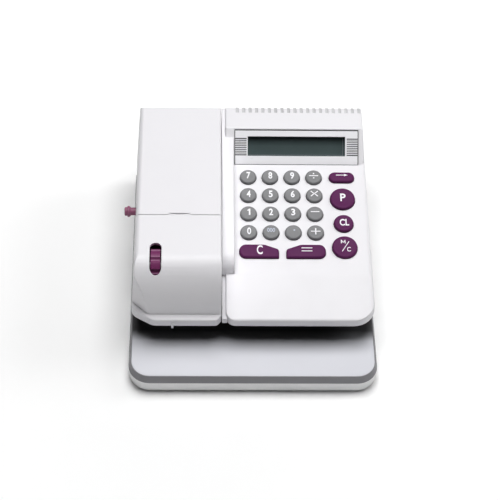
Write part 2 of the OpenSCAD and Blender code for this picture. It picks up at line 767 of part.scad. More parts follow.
module ink_door() color(white) difference() {
    union() {
        intersection() {
            difference() {
                tower_solid(0, z_head);
                tower_solid(wall, z_head - 5);
            }
            door_zone(-door_gap);
        }
        for (x = door_ears) {
            along_x(x, x + lug_t, hinge_y, hinge_z, 3);
            block([x, hinge_y - 3, hinge_z], [x + lug_t, hinge_y + 3, z_top - wall / 2]);
        }
    }
    for (x = door_ears) along_x(x - 1, x + lug_t + 1, hinge_y, hinge_z, hinge_r + run);
    scoop_r = (scoop_w * scoop_w / 4 + scoop_h * scoop_h) / (2 * scoop_h);
    along_y(door_y - 1, door_y + 1.8, (tower_left + tower_right) / 2 + 2.4, z_top - scoop_h + scoop_r, scoop_r, $fn = 360);
}

module hinge_rod() color(steel)
    along_x(lug_x[0], lug_x[1] + lug_t, hinge_y, hinge_z, hinge_r);

// ---- Display ----

// A plate on the panel with a collar behind the window that the display sits against
module lcd_bezel() color([0.90, 0.90, 0.92]) difference() {
    union() {
        on_lcd(0.1, -bezel_t) translate([-bezel_w / 2 + 0.1, 0, 0]) cube([bezel_w - 0.2, bezel_h - 0.2, bezel_t]);
        on_lcd(window_u - window_h / 2 - 1.8, -window_recess)
            translate([-window_w / 2 - 1.8, 0, 0]) cube([window_w + 3.6, window_h + 3.6, window_recess - 0.5]);
    }
    on_lcd(window_u - window_h / 2, -9) translate([-window_w / 2, 0, 0]) cube([window_w, window_h, 15]);
}

module lcd_display() color([0.20, 0.25, 0.24])
    on_lcd(window_u - window_h / 2 - 1.8, -window_recess - 4)
        translate([-window_w / 2 - 1.8, 0, 0]) cube([window_w + 3.6, window_h + 3.6, 4]);

// ---- Keys ----

function key_x(k) = column_x + min(k[1], 3) * key_pitch + max(0, k[1] - 3) * side_d;
function key_u(k) = -k[2] * key_pitch;

// Puts a key's own frame on the panel: local Z is the panel's normal
module on_key(k)
    translate([key_x(k), row_y, row_z])
        rotate([keypad_slope, 0, 0]) translate([0, key_u(k), 0]) children();

function c_path(side) = let (w = 1.74 * key_pitch / 2, h = 6.4) side > 0
    ? [[-w, -h, 5.6], [w, -h, 0.8], [w, h - 4.7, 2], [w - 12, h, 10], [-w, h, 5.6]]
    : [[-w, -h, 0.8], [w, -h, 5.6], [w, h, 5.6], [-w + 12, h, 10], [-w, h - 4.7, 2]];

module key_section(kind, grow) {
    if (kind == "round") circle(d = key_d + 2 * grow);
    if (kind == "large") circle(d = 1.52 * key_d + 2 * grow);
    if (kind == "medium") circle(d = 1.19 * key_d + 2 * grow);
    if (kind == "arrow") {
        for (s = [-1, 1]) translate([s * 5.9, 0]) circle(d = 10 + 2 * grow);
        square([11.8, 10 + 2 * grow], center = true);
    }
    if (kind == "c") polygon(outline(inset(c_path(1), -grow)));
    if (kind == "equals") polygon(outline(inset(c_path(-1), -grow)));
}

function key_color(k) = k[3] == "round" ? key_grey : purple;

module key(k) color(key_color(k)) on_key(k) {
    edge = 0.5;
    top = -wall - slip;
    translate([0, 0, key_h - edge]) linear_extrude(edge) key_section(k[3], -edge);
    translate([0, 0, top - 0.5]) linear_extrude(key_h - edge - top + 0.5) key_section(k[3], 0);
    translate([0, 0, top - 1]) linear_extrude(1) key_section(k[3], key_flange);
}

module on_pad(h)
    translate([pad_left, row_y, row_z])
        rotate([keypad_slope, 0, 0]) translate([0, 13 - pad_l, h]) children();

module key_mat() color([0.75, 0.75, 0.73]) {
    difference() {
        on_pad(mat_top - pill_h - mat_t) cube([pad_w, pad_l, mat_t]);
        for (p = pad_posts) on_pad(mat_top - pill_h - mat_t - 1) translate(p) cylinder(h = mat_t + 2, r = 2 + slip);
    }
    for (k = KEYS) on_key(k) translate([0, 0, mat_top - pill_h - 0.2]) cylinder(h = pill_h + 0.2, d = 8);
}

module keypad_board() color(board_green)
    on_pad(mat_top - pill_h - mat_t - board_t) cube([pad_w, pad_l, board_t]);

module main_board() color(board_green) {
    block([body_left + 14, rear_y - 34, z_mech + 3], [body_right - 22, rear_y - 18, z_mech + 4.6]);
    for (x = [body_left + 20, body_right - 28])
        along_z(z_mech, z_mech + 3, x, rear_y - 26, 3);
    block([body_left + 24, rear_y - 30, z_mech + 4.6], [body_left + 50, rear_y - 22, z_mech + 8]);
}

// ---- Power inlet and switch ----

module dc_inlet() color(black) difference() {
    union() {
        along_y(rear_y - 11, rear_y - 0.4, inlet_x, rear_mid_z, inlet_r);
        block([inlet_x - 5, rear_y - 15, rear_mid_z - 6], [inlet_x + 5, rear_y - wall - 0.1, rear_mid_z + 6]);
    }
    difference() {
        along_y(rear_y - 10, rear_y + 1, inlet_x, rear_mid_z, 3);
        along_y(rear_y - 11, rear_y - 2, inlet_x, rear_mid_z, 1);
    }
}

rocker_r = switch_h / 2 - 1.6;
rocker_y = rear_y - 5;
module switch_housing() color(black) difference() {
    union() {
        block([switch_x - switch_w / 2, rear_y - 14, rear_mid_z - switch_h / 2],
            [switch_x + switch_w / 2, rear_y + 0.5, rear_mid_z + switch_h / 2]);
        block([switch_x - switch_w / 2 - 1.5, rear_y, rear_mid_z - switch_h / 2 - 1.5],
            [switch_x + switch_w / 2 + 1.5, rear_y + 1, rear_mid_z + switch_h / 2 + 1.5]);
    }
    block([switch_x - switch_w / 2 + 1.6, rear_y - 12, rear_mid_z - rocker_r - 0.4],
        [switch_x + switch_w / 2 - 1.6, rear_y + 2, rear_mid_z + rocker_r + 0.4]);
    along_x(switch_x - switch_w / 2 + 0.6, switch_x + switch_w / 2 - 0.6, rocker_y, rear_mid_z, 1 + run);
}

// The rocker rests with its lower end pressed in
rocker_tilt = 9;
module power_rocker() color(dark)
    translate([0, rocker_y, rear_mid_z]) rotate([rocker_tilt, 0, 0]) translate([0, -rocker_y, -rear_mid_z]) {
    w = switch_w / 2 - 2;
    intersection() {
        along_x(switch_x - w, switch_x + w, rocker_y, rear_mid_z, rocker_r);
        across(switch_x - w, switch_x + w, [[rocker_y - 3, rear_mid_z - 8, 0], [rear_y + 1.6, rear_mid_z - 8, 0],
            [rear_y, rear_mid_z, 0], [rear_y + 1.6, rear_mid_z + 8, 0], [rocker_y - 3, rear_mid_z + 8, 0]]);
    }
    along_x(switch_x - w - 1.2, switch_x + w + 1.2, rocker_y, rear_mid_z, 1);
}

// ---- Print mechanism ----

tab_front = front_shaft_y - 7.5;
tab_back = carriage_back + 31;
frame_front = tower_y + 16.2;
frame_back = motor_y + 6;

function side_plate_path() = [
    [frame_front, z_mech, 0], [frame_back, z_mech, 0], [frame_back, motor_z + 5, 3], [rear_shaft_y + 7, thumb_z + 6, 4],
    [rear_shaft_y - 9, thumb_z + 6, 4],
    [rear_shaft_y - 16, rod_z + 10, 6], [front_shaft_y + 16, rod_z + 10, 6], [front_shaft_y + 9, thumb_z + 5, 4],
    [frame_front + 5, thumb_z + 5, 2], [frame_front, thumb_z - 4, 3]];

module mechanism_frame() color(steel) difference() {
    union() {
        block([frame_left - sheet_t, frame_front, z_mech], [frame_right + sheet_t, frame_back, z_mech + sheet_t]);
        across(frame_left - sheet_t, frame_left, side_plate_path());
        across(frame_right, frame_right + sheet_t, side_plate_path());
        for (y = [tab_front, tab_back]) block([frame_left + 1, y, z_mech], [frame_right - 1, y + sheet_t, rod_z + 4]);
        motor_plate();
    }
    print_opening(z_mech - 1, z_mech + sheet_t + 1, 0);
    for (y = [front_shaft_y, rear_shaft_y])
        along_x(frame_left - sheet_t - 1, frame_right + sheet_t + 1, y, thumb_z, shaft_r + run);
    for (s = [-1, 1])
        along_y(tab_front - 1, tab_back + sheet_t + 1, print_x + s * rod_off, rod_z, rod_r + seat);
    along_x(frame_right - 1, frame_right + sheet_t + 1, motor_y, motor_z, 2.6);
}

motor_plate_x = belt_x - belt_w / 2 - 5;
module motor_plate() difference() {
    across(motor_plate_x, motor_plate_x + sheet_t, [[motor_y - 11, z_mech, 0], [frame_back, z_mech, 0],
        [frame_back, motor_z + 8, 4], [motor_y - 8, motor_z + 8, 4], [motor_y - 11, motor_z - 12, 2]]);
    along_x(motor_plate_x - 1, motor_plate_x + sheet_t + 1, motor_y, motor_z, 2.6);
}

module guide_rods() color(steel)
    for (s = [-1, 1])
        along_y(tab_front - 1, tab_back + sheet_t + 1, print_x + s * rod_off, rod_z, rod_r);

belt_back = 0.7;   // belt thickness outside its pitch line
tooth_h = 0.9;     // height of the belt's teeth
pulley_flange = 1;

// The belt's loop, moved inwards by d from its pitch line
module belt_loop(d) {
    r = pulley_r - d;
    for (y = [front_shaft_y, rear_shaft_y]) translate([y, thumb_z]) circle(r = r);
    translate([front_shaft_y, thumb_z - r]) square([rear_shaft_y - front_shaft_y, 2 * r]);
}

module drive_belt() color(black)
    translate([belt_x - belt_w / 2, 0, 0])
        rotate([90, 0, 90])
            linear_extrude(belt_w) {
                difference() {
                    belt_loop(-belt_back);
                    belt_loop(0.3);
                }
                for (i = [2:belt_span - 2], s = [-1, 1])
                    translate([front_shaft_y + i * belt_pitch, thumb_z + s * (pulley_r - 0.2 - tooth_h / 2)])
                        square([belt_pitch * 0.45, tooth_h + 0.4], center = true);
            }

// A toothed pulley between two flanges; its teeth clear the belt's teeth
module pulley(y) {
    tip = pulley_r - 0.3 - slip;
    half = belt_w / 2 + 0.5;
    difference() {
        along_x(belt_x - half - pulley_flange, belt_x + half + pulley_flange, y, thumb_z, pulley_r + 1.6);
        difference() {
            along_x(belt_x - half, belt_x + half, y, thumb_z, pulley_r + 3);
            along_x(belt_x - half, belt_x + half, y, thumb_z, tip);
        }
        for (i = [0:pulley_teeth - 1])
            translate([belt_x, y, thumb_z])
                rotate([i * 360 / pulley_teeth, 0, 0])
                    translate([0, 0, tip]) cube([2 * half, belt_pitch * 0.5, 2 * tooth_h], center = true);
        along_x(belt_x - far, belt_x + far, y, thumb_z, shaft_r + seat);
    }
}

module front_pulley() color(nylon) pulley(front_shaft_y);
module rear_pulley() color(nylon) pulley(rear_shaft_y);

module front_shaft() color(steel)
    along_x(thumb_x - thumb_w / 2 - 1, frame_right + sheet_t + 1.5, front_shaft_y, thumb_z, shaft_r);
module rear_shaft() color(steel)
    along_x(frame_left - sheet_t - 1, gear_x + gear_w / 2, rear_shaft_y, thumb_z, shaft_r);

module thumb_wheel() color(purple) difference() {
    along_x(thumb_x - thumb_w / 2, thumb_x + thumb_w / 2, front_shaft_y, thumb_z, thumb_r);
    for (i = [0:thumb_grooves - 1])
        translate([thumb_x, front_shaft_y, thumb_z])
            rotate([(i + 0.45) * 360 / thumb_grooves, 0, 0])
                translate([-far / 2, 0, thumb_r + 1.4]) rotate([0, 90, 0]) cylinder(h = far, r = 2.7);
    along_x(thumb_x - far, thumb_x + far, front_shaft_y, thumb_z, shaft_r + seat);
}

// A spur gear's outline: teeth with straight flanks, thinned for backlash
function tooth_points(m, n, i) = let (r = m * n / 2, a = 360 / n)
    [for (p = [[-0.29, -1.2], [-0.21, 0], [-0.11, 0.9], [0.11, 0.9], [0.21, 0], [0.29, -1.2]])
        let (t = (i + p[0]) * a, q = r + p[1] * m) [q * cos(t), q * sin(t)]];

module gear(m, n, w, bore)
    linear_extrude(w) difference() {
        polygon([for (i = [0:n - 1]) each tooth_points(m, n, i)]);
        circle(r = bore);
    }

module drive_gear() color(nylon)
    translate([gear_x - gear_w / 2, rear_shaft_y, thumb_z])
        rotate([90, 0, 90]) rotate(motor_angle) gear(gear_module, gear_teeth, gear_w, shaft_r + seat);

motor_shaft_r = 1.5;
module motor_pinion() color([0.80, 0.66, 0.36]) {
    translate([gear_x - gear_w / 2, motor_y, motor_z])
        rotate([90, 0, 90])
            rotate(motor_angle + 180 + 180 / pinion_teeth)
                gear(gear_module, pinion_teeth, gear_w, motor_shaft_r - 0.1);
    along_x(motor_plate_x - 5, gear_x + gear_w / 2, motor_y, motor_z, motor_shaft_r);
}

module drive_motor() color([0.55, 0.55, 0.57]) difference() {
    union() {
        along_x(frame_left + 0.6, motor_plate_x, motor_y, motor_z, motor_r);
        along_x(motor_plate_x - 0.5, motor_plate_x + sheet_t, motor_y, motor_z, 2.5);
    }
    along_x(motor_plate_x - 5.5, motor_plate_x + sheet_t + 1, motor_y, motor_z, motor_shaft_r + run);
}

cheek_in = type_w / 2 + 1;
cheek_t = 3;

function cheek_path() = let (top = ink_z + 6 - type_z, low = -7, arm = rod_z - type_z)
    [for (p = [[-7, low, 3], [7, low, 3], [9, arm - 4.6, 1], [rod_off, arm - 3, 2], [rod_off, arm + 3, 2],
        [6, top, 3], [-6, top, 3], [-rod_off, arm + 3, 2], [-rod_off, arm - 3, 2], [-9, arm - 4.6, 1]])
        [print_x + p[0], type_z + p[1], p[2]]];

boss_out = 4.7;
module carriage() color(nylon) difference() {
    union() {
        for (s = [-1, 1])
            along_y(carriage_y - carriage_l / 2, carriage_y + carriage_l / 2, print_x + s * rod_off, rod_z, boss_out);
        for (y = [carriage_y - cheek_in - cheek_t, carriage_y + cheek_in])
            backward(y, y + cheek_t, cheek_path());
        belt_clamp();
    }
    for (s = [-1, 1])
        along_y(carriage_y - carriage_l, carriage_y + carriage_l, print_x + s * rod_off, rod_z, rod_r + run);
    along_y(carriage_y - carriage_l, carriage_y + carriage_l, print_x, type_z, 2.5 + run);
    along_y(carriage_y - carriage_l, carriage_y + carriage_l, print_x, ink_z, 2 + run);
    along_y(carriage_y - cheek_in, carriage_y + cheek_in, print_x, type_z, type_r + 0.5);
}

// The post on the carriage that grips the belt's lower run
module belt_clamp() difference() {
    half = belt_w / 2 + 2.2;
    grip_z = thumb_z - pulley_r;
    union() {
        block([belt_x - 3.2, carriage_y - 4.5, rod_z + 3], [belt_x + half - 0.4, carriage_y + 4.5, grip_z]);
        block([belt_x - half, carriage_y - 4.5, grip_z - 4], [belt_x + half - 0.4, carriage_y + 4.5, grip_z + 4.5]);
    }
    block([belt_x - belt_w / 2 - 0.5, carriage_y - 6, thumb_z - pulley_r - belt_back - 0.4],
        [belt_x + belt_w / 2 + 0.5, carriage_y + 6, thumb_z - pulley_r + 0.2 + tooth_h + 0.5]);
}

module type_wheel() color([0.25, 0.25, 0.27]) {
    difference() {
        along_y(carriage_y - type_w / 2, carriage_y + type_w / 2, print_x, type_z, type_r - 1.2);
        for (s = [-1, 1]) translate([0, s * (type_w - 2), 0]) difference() {
            along_y(carriage_y - type_w / 2, carriage_y + type_w / 2, print_x, type_z, type_r - 4);
            along_y(carriage_y - type_w / 2 - 1, carriage_y + type_w / 2 + 1, print_x, type_z, 4.5);
        }
    }
    for (i = [0:type_count - 1])
        translate([print_x, carriage_y, type_z])
            rotate([0, i * 360 / type_count, 0])
                intersection() {
                    translate([0, 0, type_r - 2]) cube([3.4, type_w - 2, 4], center = true);
                    rotate([90, 0, 0]) cylinder(h = type_w, r = type_r, center = true);
                }
    along_y(carriage_y - cheek_in - cheek_t + 0.2, carriage_y + cheek_in + cheek_t - 0.2, print_x, type_z, 2.5);
}

module type_motor() color([0.55, 0.55, 0.57])
    along_y(carriage_y + cheek_in + cheek_t, carriage_y + cheek_in + cheek_t + 14, print_x, type_z, 9);

module ink_roller() color([0.30, 0.16, 0.34]) {
    along_y(carriage_y - type_w / 2, carriage_y + type_w / 2, print_x, ink_z, ink_r);
    along_y(carriage_y - cheek_in - cheek_t + 0.2, carriage_y + cheek_in + cheek_t - 0.2, print_x, ink_z, 2);
}

// ---- Cheque guide and its knob ----

knob_wall = tower_left + (z_table + knob_z - z_head) * tan(tower_draft);

module guide_knob() color(purple)
    translate([knob_wall, knob_y, z_table + knob_z])
        rotate([0, -90, 0]) rotate_extrude()
            polygon([[0, -guide_x + knob_wall + 1], [2, -guide_x + knob_wall + 1], [2, -wall - 1.5], [neck_r, -wall - 1.5],
                [neck_r, knob_out - 5.5], [knob_r + 1, knob_out - 4], [knob_r + 1, knob_out - 2.6],
                [knob_r, knob_out - 2.2], [knob_r, knob_out - 0.6], [knob_r - 0.6, knob_out], [0, knob_out]]);

module cheque_guide() color(nylon) difference() {
    union() {
        across(guide_x - 2, guide_x, [[knob_y - guide_l / 2, z_table + 1, 2], [knob_y + guide_l / 2, z_table + 1, 2],
            [knob_y + guide_l / 2, z_mech + 3, 2], [knob_y + 7, z_table + knob_z + 5, 4],
            [knob_y - 7, z_table + knob_z + 5, 4], [knob_y - guide_l / 2, z_mech + 3, 2]]);
        along_x(guide_x - 3, guide_x, knob_y, z_table + knob_z, 4.5);
    }
    along_x(guide_x - 9, guide_x - 0.9, knob_y, z_table + knob_z, 2 + seat);
}

base_tray();
base_deck();
paper_table();
platen_bar();
rubber_feet();
base_screws();
pedestal();
head_floor();
head_cover();
tower_cover();
head_screws();
ink_door();
hinge_rod();
lcd_bezel();
lcd_display();
keypad_board();
key_mat();
main_board();
dc_inlet();
switch_housing();
power_rocker();
mechanism_frame();
guide_rods();
drive_belt();
front_shaft();
front_pulley();
thumb_wheel();
rear_shaft();
rear_pulley();
drive_gear();
motor_pinion();
drive_motor();
carriage();
type_wheel();
type_motor();
ink_roller();
guide_knob();
cheque_guide();
for (k = KEYS) key(k);
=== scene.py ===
# %% [markdown]
# # A desk check writer, dressed in Blender
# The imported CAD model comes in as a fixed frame: every piece is already in place, in metres, with X to
# the right, Y to the back and Z up. The shapes could be modelled again in Blender, but then the two
# models would drift apart. This lesson only gives each piece its finish, adds the small parts that are
# too fine for the CAD, and sets up the studio.

# %% Load the frame
import json
import math

import bmesh
import bpy
from mathutils import Matrix, Vector


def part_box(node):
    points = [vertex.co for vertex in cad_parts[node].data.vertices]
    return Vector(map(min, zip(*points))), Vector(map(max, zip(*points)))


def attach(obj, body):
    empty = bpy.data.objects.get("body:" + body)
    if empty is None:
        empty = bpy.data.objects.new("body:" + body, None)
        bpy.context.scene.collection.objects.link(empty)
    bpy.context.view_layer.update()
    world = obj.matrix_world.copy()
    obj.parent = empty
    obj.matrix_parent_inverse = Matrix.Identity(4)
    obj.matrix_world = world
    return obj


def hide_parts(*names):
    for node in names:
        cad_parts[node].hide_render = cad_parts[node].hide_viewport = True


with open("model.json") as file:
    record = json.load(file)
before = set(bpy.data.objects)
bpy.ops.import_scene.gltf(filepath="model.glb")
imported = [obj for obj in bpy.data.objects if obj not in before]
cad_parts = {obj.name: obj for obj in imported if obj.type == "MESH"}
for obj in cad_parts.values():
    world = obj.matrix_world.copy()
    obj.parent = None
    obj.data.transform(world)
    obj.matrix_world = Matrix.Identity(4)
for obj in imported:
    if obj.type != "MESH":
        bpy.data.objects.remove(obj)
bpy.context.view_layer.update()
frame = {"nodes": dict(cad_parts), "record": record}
nodes = frame["nodes"]
MM = 0.001

# %% [markdown]
# The photograph was taken from in front and well above, with a long lens. A camera can be nudged by eye
# until the outlines meet, but every nudge moves all of them at once. A pinhole fit to the keys and the
# base gives place, lens and angles together: 50 degrees of elevation, turned 2.5 degrees and rolled 2.2.

# %% The camera
ELEVATION = math.radians(50.0)
YAW = -0.04441
ROLL = -0.03858
CAMERA_AT = Vector((-42.43, -914.50, 1133.17)) * MM
FOCAL_PIXELS = 1650.0
FRAME_PIXELS = 500.0
SENSOR_MM = 36.0


def camera_axes():
    """The camera's right, up and view directions."""
    ce, se = math.cos(ELEVATION), math.sin(ELEVATION)
    look = Vector((-math.sin(YAW) * ce, math.cos(YAW) * ce, -se))
    level = Vector((math.cos(YAW), math.sin(YAW), 0.0))
    down = look.cross(level)
    right = math.cos(ROLL) * level + math.sin(ROLL) * down
    down = -math.sin(ROLL) * level + math.cos(ROLL) * down
    return right, -down, look


right, up, look = camera_axes()
camera_data = bpy.data.cameras.new("studio_camera")
camera_data.sensor_width = SENSOR_MM
camera_data.lens = SENSOR_MM * FOCAL_PIXELS / FRAME_PIXELS
camera_data.clip_start, camera_data.clip_end = 0.05, 20.0
camera = bpy.data.objects.new("studio_camera", camera_data)
bpy.context.scene.collection.objects.link(camera)
camera.matrix_world = Matrix.Translation(CAMERA_AT) @ Matrix((right, up, -look)).transposed().to_4x4()
bpy.context.scene.camera = camera
print("camera lens in mm:", round(camera_data.lens, 1))

# %% [markdown]
# A white product shot has a floor that runs out of the picture and a plain room behind it. A sheet bent up
# at the back could be both, but it shows its bend from the side, so the floor is one very large flat
# sheet. The room sends almost no light; only the camera sees it, as a pale wall behind the floor. The
# plain view transform keeps the plastic's real colours, and a gamma a little under 1 gives the contrast
# of a print.

# %% The studio floor and room
bpy.context.scene.view_settings.view_transform = "Standard"
bpy.context.scene.view_settings.gamma = 0.85
FLOOR_SIZE = 60.0
ROOM_LIGHT, ROOM_SEEN = 0.012, 0.62


def flat_plane(name, size):
    """A square sheet at desk level round the origin."""
    mesh = bpy.data.meshes.new(name)
    h = size / 2
    mesh.from_pydata([(-h, -h, 0.0), (h, -h, 0.0), (h, h, 0.0), (-h, h, 0.0)], [], [(0, 1, 2, 3)])
    piece = bpy.data.objects.new(name, mesh)
    bpy.context.scene.collection.objects.link(piece)
    return piece


floor = flat_plane("studio_floor", FLOOR_SIZE)

world = bpy.data.worlds.new("studio_world")
world.use_nodes = True
room = world.node_tree.nodes["Background"]
room.inputs["Color"].default_value = (1.0, 1.0, 1.0, 1)
seen = world.node_tree.nodes.new("ShaderNodeLightPath").outputs["Is Camera Ray"]
brightness = world.node_tree.nodes.new("ShaderNodeMapRange")
brightness.inputs["To Min"].default_value = ROOM_LIGHT
brightness.inputs["To Max"].default_value = ROOM_SEEN
world.node_tree.links.new(seen, brightness.inputs["Value"])
world.node_tree.links.new(brightness.outputs["Result"], room.inputs["Strength"])
bpy.context.scene.world = world
print("floor in m:", FLOOR_SIZE, "room nodes:", len(world.node_tree.nodes))

# %% [markdown]
# The picture's shadows fall straight down: the throat goes dark right under the lip, with a soft edge
# about 16 mm wide on the table 21 mm below it. A bright room would be the quickest soft light, but it
# would fill the throat. A source that spreads 20 degrees to each side gives that edge, so one round lamp
# 1.1 m wide hangs 1.5 m above the machine. A weaker lamp on the right opens the side wall, and a low
# strip in front reaches the upright edges.

# %% The lamps
TOP_WATTS, SIDE_WATTS, GLOW_WATTS = 22.8, 6.0, 1.4


def soft_lamp(name, place, target, size, power):
    """A round area lamp that looks at target."""
    data = bpy.data.lights.new(name, "AREA")
    data.shape = "DISK"
    data.size = size
    data.energy = power
    lamp = bpy.data.objects.new(name, data)
    bpy.context.scene.collection.objects.link(lamp)
    lamp.location = place
    lamp.rotation_mode = "QUATERNION"
    lamp.rotation_quaternion = (Vector(target) - Vector(place)).to_track_quat("-Z", "Y")
    return lamp


lamps = [soft_lamp("top_softbox", (0.0, 0.19, 1.5), (0, 0, 0.0), 1.1, TOP_WATTS),
         soft_lamp("side_fill", (1.3, 0.35, 1.1), (0, 0, 0.05), 0.8, SIDE_WATTS),
         soft_lamp("front_glow", (0.0, -1.2, 0.07), (0, 0, 0.05), 1.6, GLOW_WATTS)]
lamps[2].data.shape, lamps[2].data.size_y = "RECTANGLE", 0.06
print("lamps in watts:", [round(lamp.data.energy, 1) for lamp in lamps])

# %% [markdown]
# Moulded plastic is never one flat colour. The mould's surface is spark-eroded, which leaves a fine
# grain; the resin's colour drifts a little over a hand's width; hands polish it in patches, and dust
# settles on what faces up. A picture of plastic could be laid on, but it would need unwrapping and would
# repeat. One shader group with noise holds all of that instead, and each plastic gives it its own colour,
# grain size and amounts. The positions come from object coordinates, which move with the piece.

# %% Shader group: moulded skin


class Wiring:
    """A short way to write a node tree: w.add(kind, {input: value or socket}) returns the new node."""

    def __init__(self, tree):
        self.tree = tree

    def add(self, kind, inputs=None, **settings):
        node = self.tree.nodes.new("ShaderNode" + kind)
        for name, value in settings.items():
            setattr(node, name, value)
        for name, value in (inputs or {}).items():
            socket = node.inputs[name]
            if isinstance(value, bpy.types.NodeSocket):
                self.tree.links.new(value, socket)
            else:
                socket.default_value = value
        return node

    def math(self, operation, a, b=0.0, c=0.0):
        return self.add("Math", {0: a, 1: b, 2: c}, operation=operation).outputs[0]

    def between(self, value, low, high, to_low=0.0, to_high=1.0):
        inputs = {"Value": value, "From Min": low, "From Max": high, "To Min": to_low, "To Max": to_high}
        return self.add("MapRange", inputs).outputs["Result"]

    def blend(self, factor, a, b):
        node = self.add("Mix", data_type="RGBA", blend_type="MIX")
        for socket, value in zip((node.inputs[0], node.inputs[6], node.inputs[7]), (factor, a, b)):
            if isinstance(value, bpy.types.NodeSocket):
                self.tree.links.new(value, socket)
            else:
                socket.default_value = value
        return node.outputs[2]


def shader_group(name, inputs, outputs):
    """A new group with its named inputs {name: default} and outputs; returns its wiring and ends."""
    group = bpy.data.node_groups.new(name, "ShaderNodeTree")
    kinds = {float: "NodeSocketFloat", tuple: "NodeSocketColor"}
    for label, value in inputs.items():
        socket = group.interface.new_socket(label, in_out="INPUT", socket_type=kinds[type(value)])
        socket.default_value = value
    for label, kind in outputs.items():
        group.interface.new_socket(label, in_out="OUTPUT", socket_type="NodeSocket" + kind)
    wires = Wiring(group)
    start = group.nodes.new("NodeGroupInput").outputs
    end = group.nodes.new("NodeGroupOutput").inputs
    return group, wires, start, end


def make_moulded_skin():
    group, w, given, out = shader_group(
        "moulded_skin",
        {"Resin Colour": (0.8, 0.8, 0.8, 1.0), "Resin Drift": 0.03, "Grain Size mm": 0.35,
         "Polish": 0.5, "Handling": 0.08, "Dust": 0.03},
        {"Color": "Color", "Roughness": "Float", "Height": "Float"})
    place = w.add("TexCoord").outputs
    drift = w.add("TexNoise", {"Vector": place["Object"], "Scale": 22.0, "Detail": 3.0, "Roughness": 0.55})
    hands = w.add("TexNoise", {"Vector": place["Object"], "Scale": 70.0, "Detail": 4.0, "Roughness": 0.65})
    per_metre = w.math("DIVIDE", 1000.0, given["Grain Size mm"])
    grain = w.add("TexNoise", {"Vector": place["Object"], "Scale": per_metre, "Detail": 2.0})
    pits = w.add("TexVoronoi", {"Vector": place["Object"], "Scale": per_metre, "Randomness": 1.0},
                 feature="SMOOTH_F1")
    shade = w.math("MULTIPLY", w.math("SUBTRACT", drift.outputs["Fac"], 0.5), given["Resin Drift"])
    factor = w.math("ADD", 1.0, w.math("MULTIPLY", shade, 2.0))
    tone = w.add("VectorMath", {0: given["Resin Colour"]}, operation="SCALE")
    w.tree.links.new(factor, tone.inputs["Scale"])
    facing = w.add("SeparateXYZ", {"Vector": place["Normal"]}).outputs["Z"]
    settled = w.between(facing, 0.6, 1.0)
    patches = w.between(hands.outputs["Fac"], 0.45, 0.75)
    dust = w.math("MULTIPLY", w.math("MULTIPLY", settled, patches), given["Dust"])
    w.tree.links.new(w.blend(dust, tone.outputs["Vector"], (0.62, 0.60, 0.57, 1.0)), out["Color"])
    swing = w.math("MULTIPLY", w.math("SUBTRACT", hands.outputs["Fac"], 0.5), given["Handling"])
    rough = w.math("ADD", w.math("ADD", given["Polish"], w.math("MULTIPLY", swing, 2.0)),
                   w.math("MULTIPLY", dust, 0.6))
    w.tree.links.new(rough, out["Roughness"])
    height = w.math("ADD", w.math("MULTIPLY", grain.outputs["Fac"], 0.6),
                    w.math("MULTIPLY", pits.outputs["Distance"], 0.4))
    w.tree.links.new(height, out["Height"])
    return group


moulded_skin = make_moulded_skin()
print("group moulded_skin:", len(moulded_skin.nodes), "nodes")

# %% [markdown]
# Handled plastic and sheet metal change first along their edges, where they are rubbed bright. Wear could
# be painted on each piece, but the Bevel node finds every edge by itself. It gives the normal of a
# rounded copy of the surface: where that parts from the true normal, there is an edge. The same normal
# also rounds every hard edge in the light, the way a real mould does.

# %% Shader group: worn edges


def make_worn_edges():
    group, w, given, out = shader_group(
        "worn_edges",
        {"Colour": (0.8, 0.8, 0.8, 1.0), "Worn Colour": (0.9, 0.9, 0.9, 1.0), "Wear": 0.3, "Edge mm": 0.4},
        {"Color": "Color", "Mask": "Float", "Normal": "Vector"})
    place = w.add("TexCoord").outputs
    radius = w.math("MULTIPLY", given["Edge mm"], MM)
    rounded = w.add("Bevel", {"Radius": radius}, samples=6).outputs["Normal"]
    plain = w.add("NewGeometry").outputs["Normal"]
    likeness = w.add("VectorMath", {0: rounded, 1: plain}, operation="DOT_PRODUCT").outputs["Value"]
    edge = w.between(likeness, 0.98, 0.80)
    rubbed = w.add("TexNoise", {"Vector": place["Object"], "Scale": 260.0, "Detail": 4.0})
    patchy = w.math("MULTIPLY", edge, w.between(rubbed.outputs["Fac"], 0.35, 0.65))
    mask = w.math("MULTIPLY", patchy, given["Wear"])
    w.tree.links.new(w.blend(mask, given["Colour"], given["Worn Colour"]), out["Color"])
    w.tree.links.new(mask, out["Mask"])
    w.tree.links.new(rounded, out["Normal"])
    return group


worn_edges = make_worn_edges()
print("group worn_edges:", len(worn_edges.nodes), "nodes")

# %% [markdown]
# The mechanism is zinc-plated sheet, ground rods and a drawn motor can. All three carry fine lines from
# the rolling or grinding, and cloudy patches in the plating. A stretched gloss could hint at the lines,
# but it leaves the clouds out. Noise stretched a hundred times along one axis makes the lines; the
# coordinates are multiplied by a small number along that axis.

# %% Shader group: worked metal


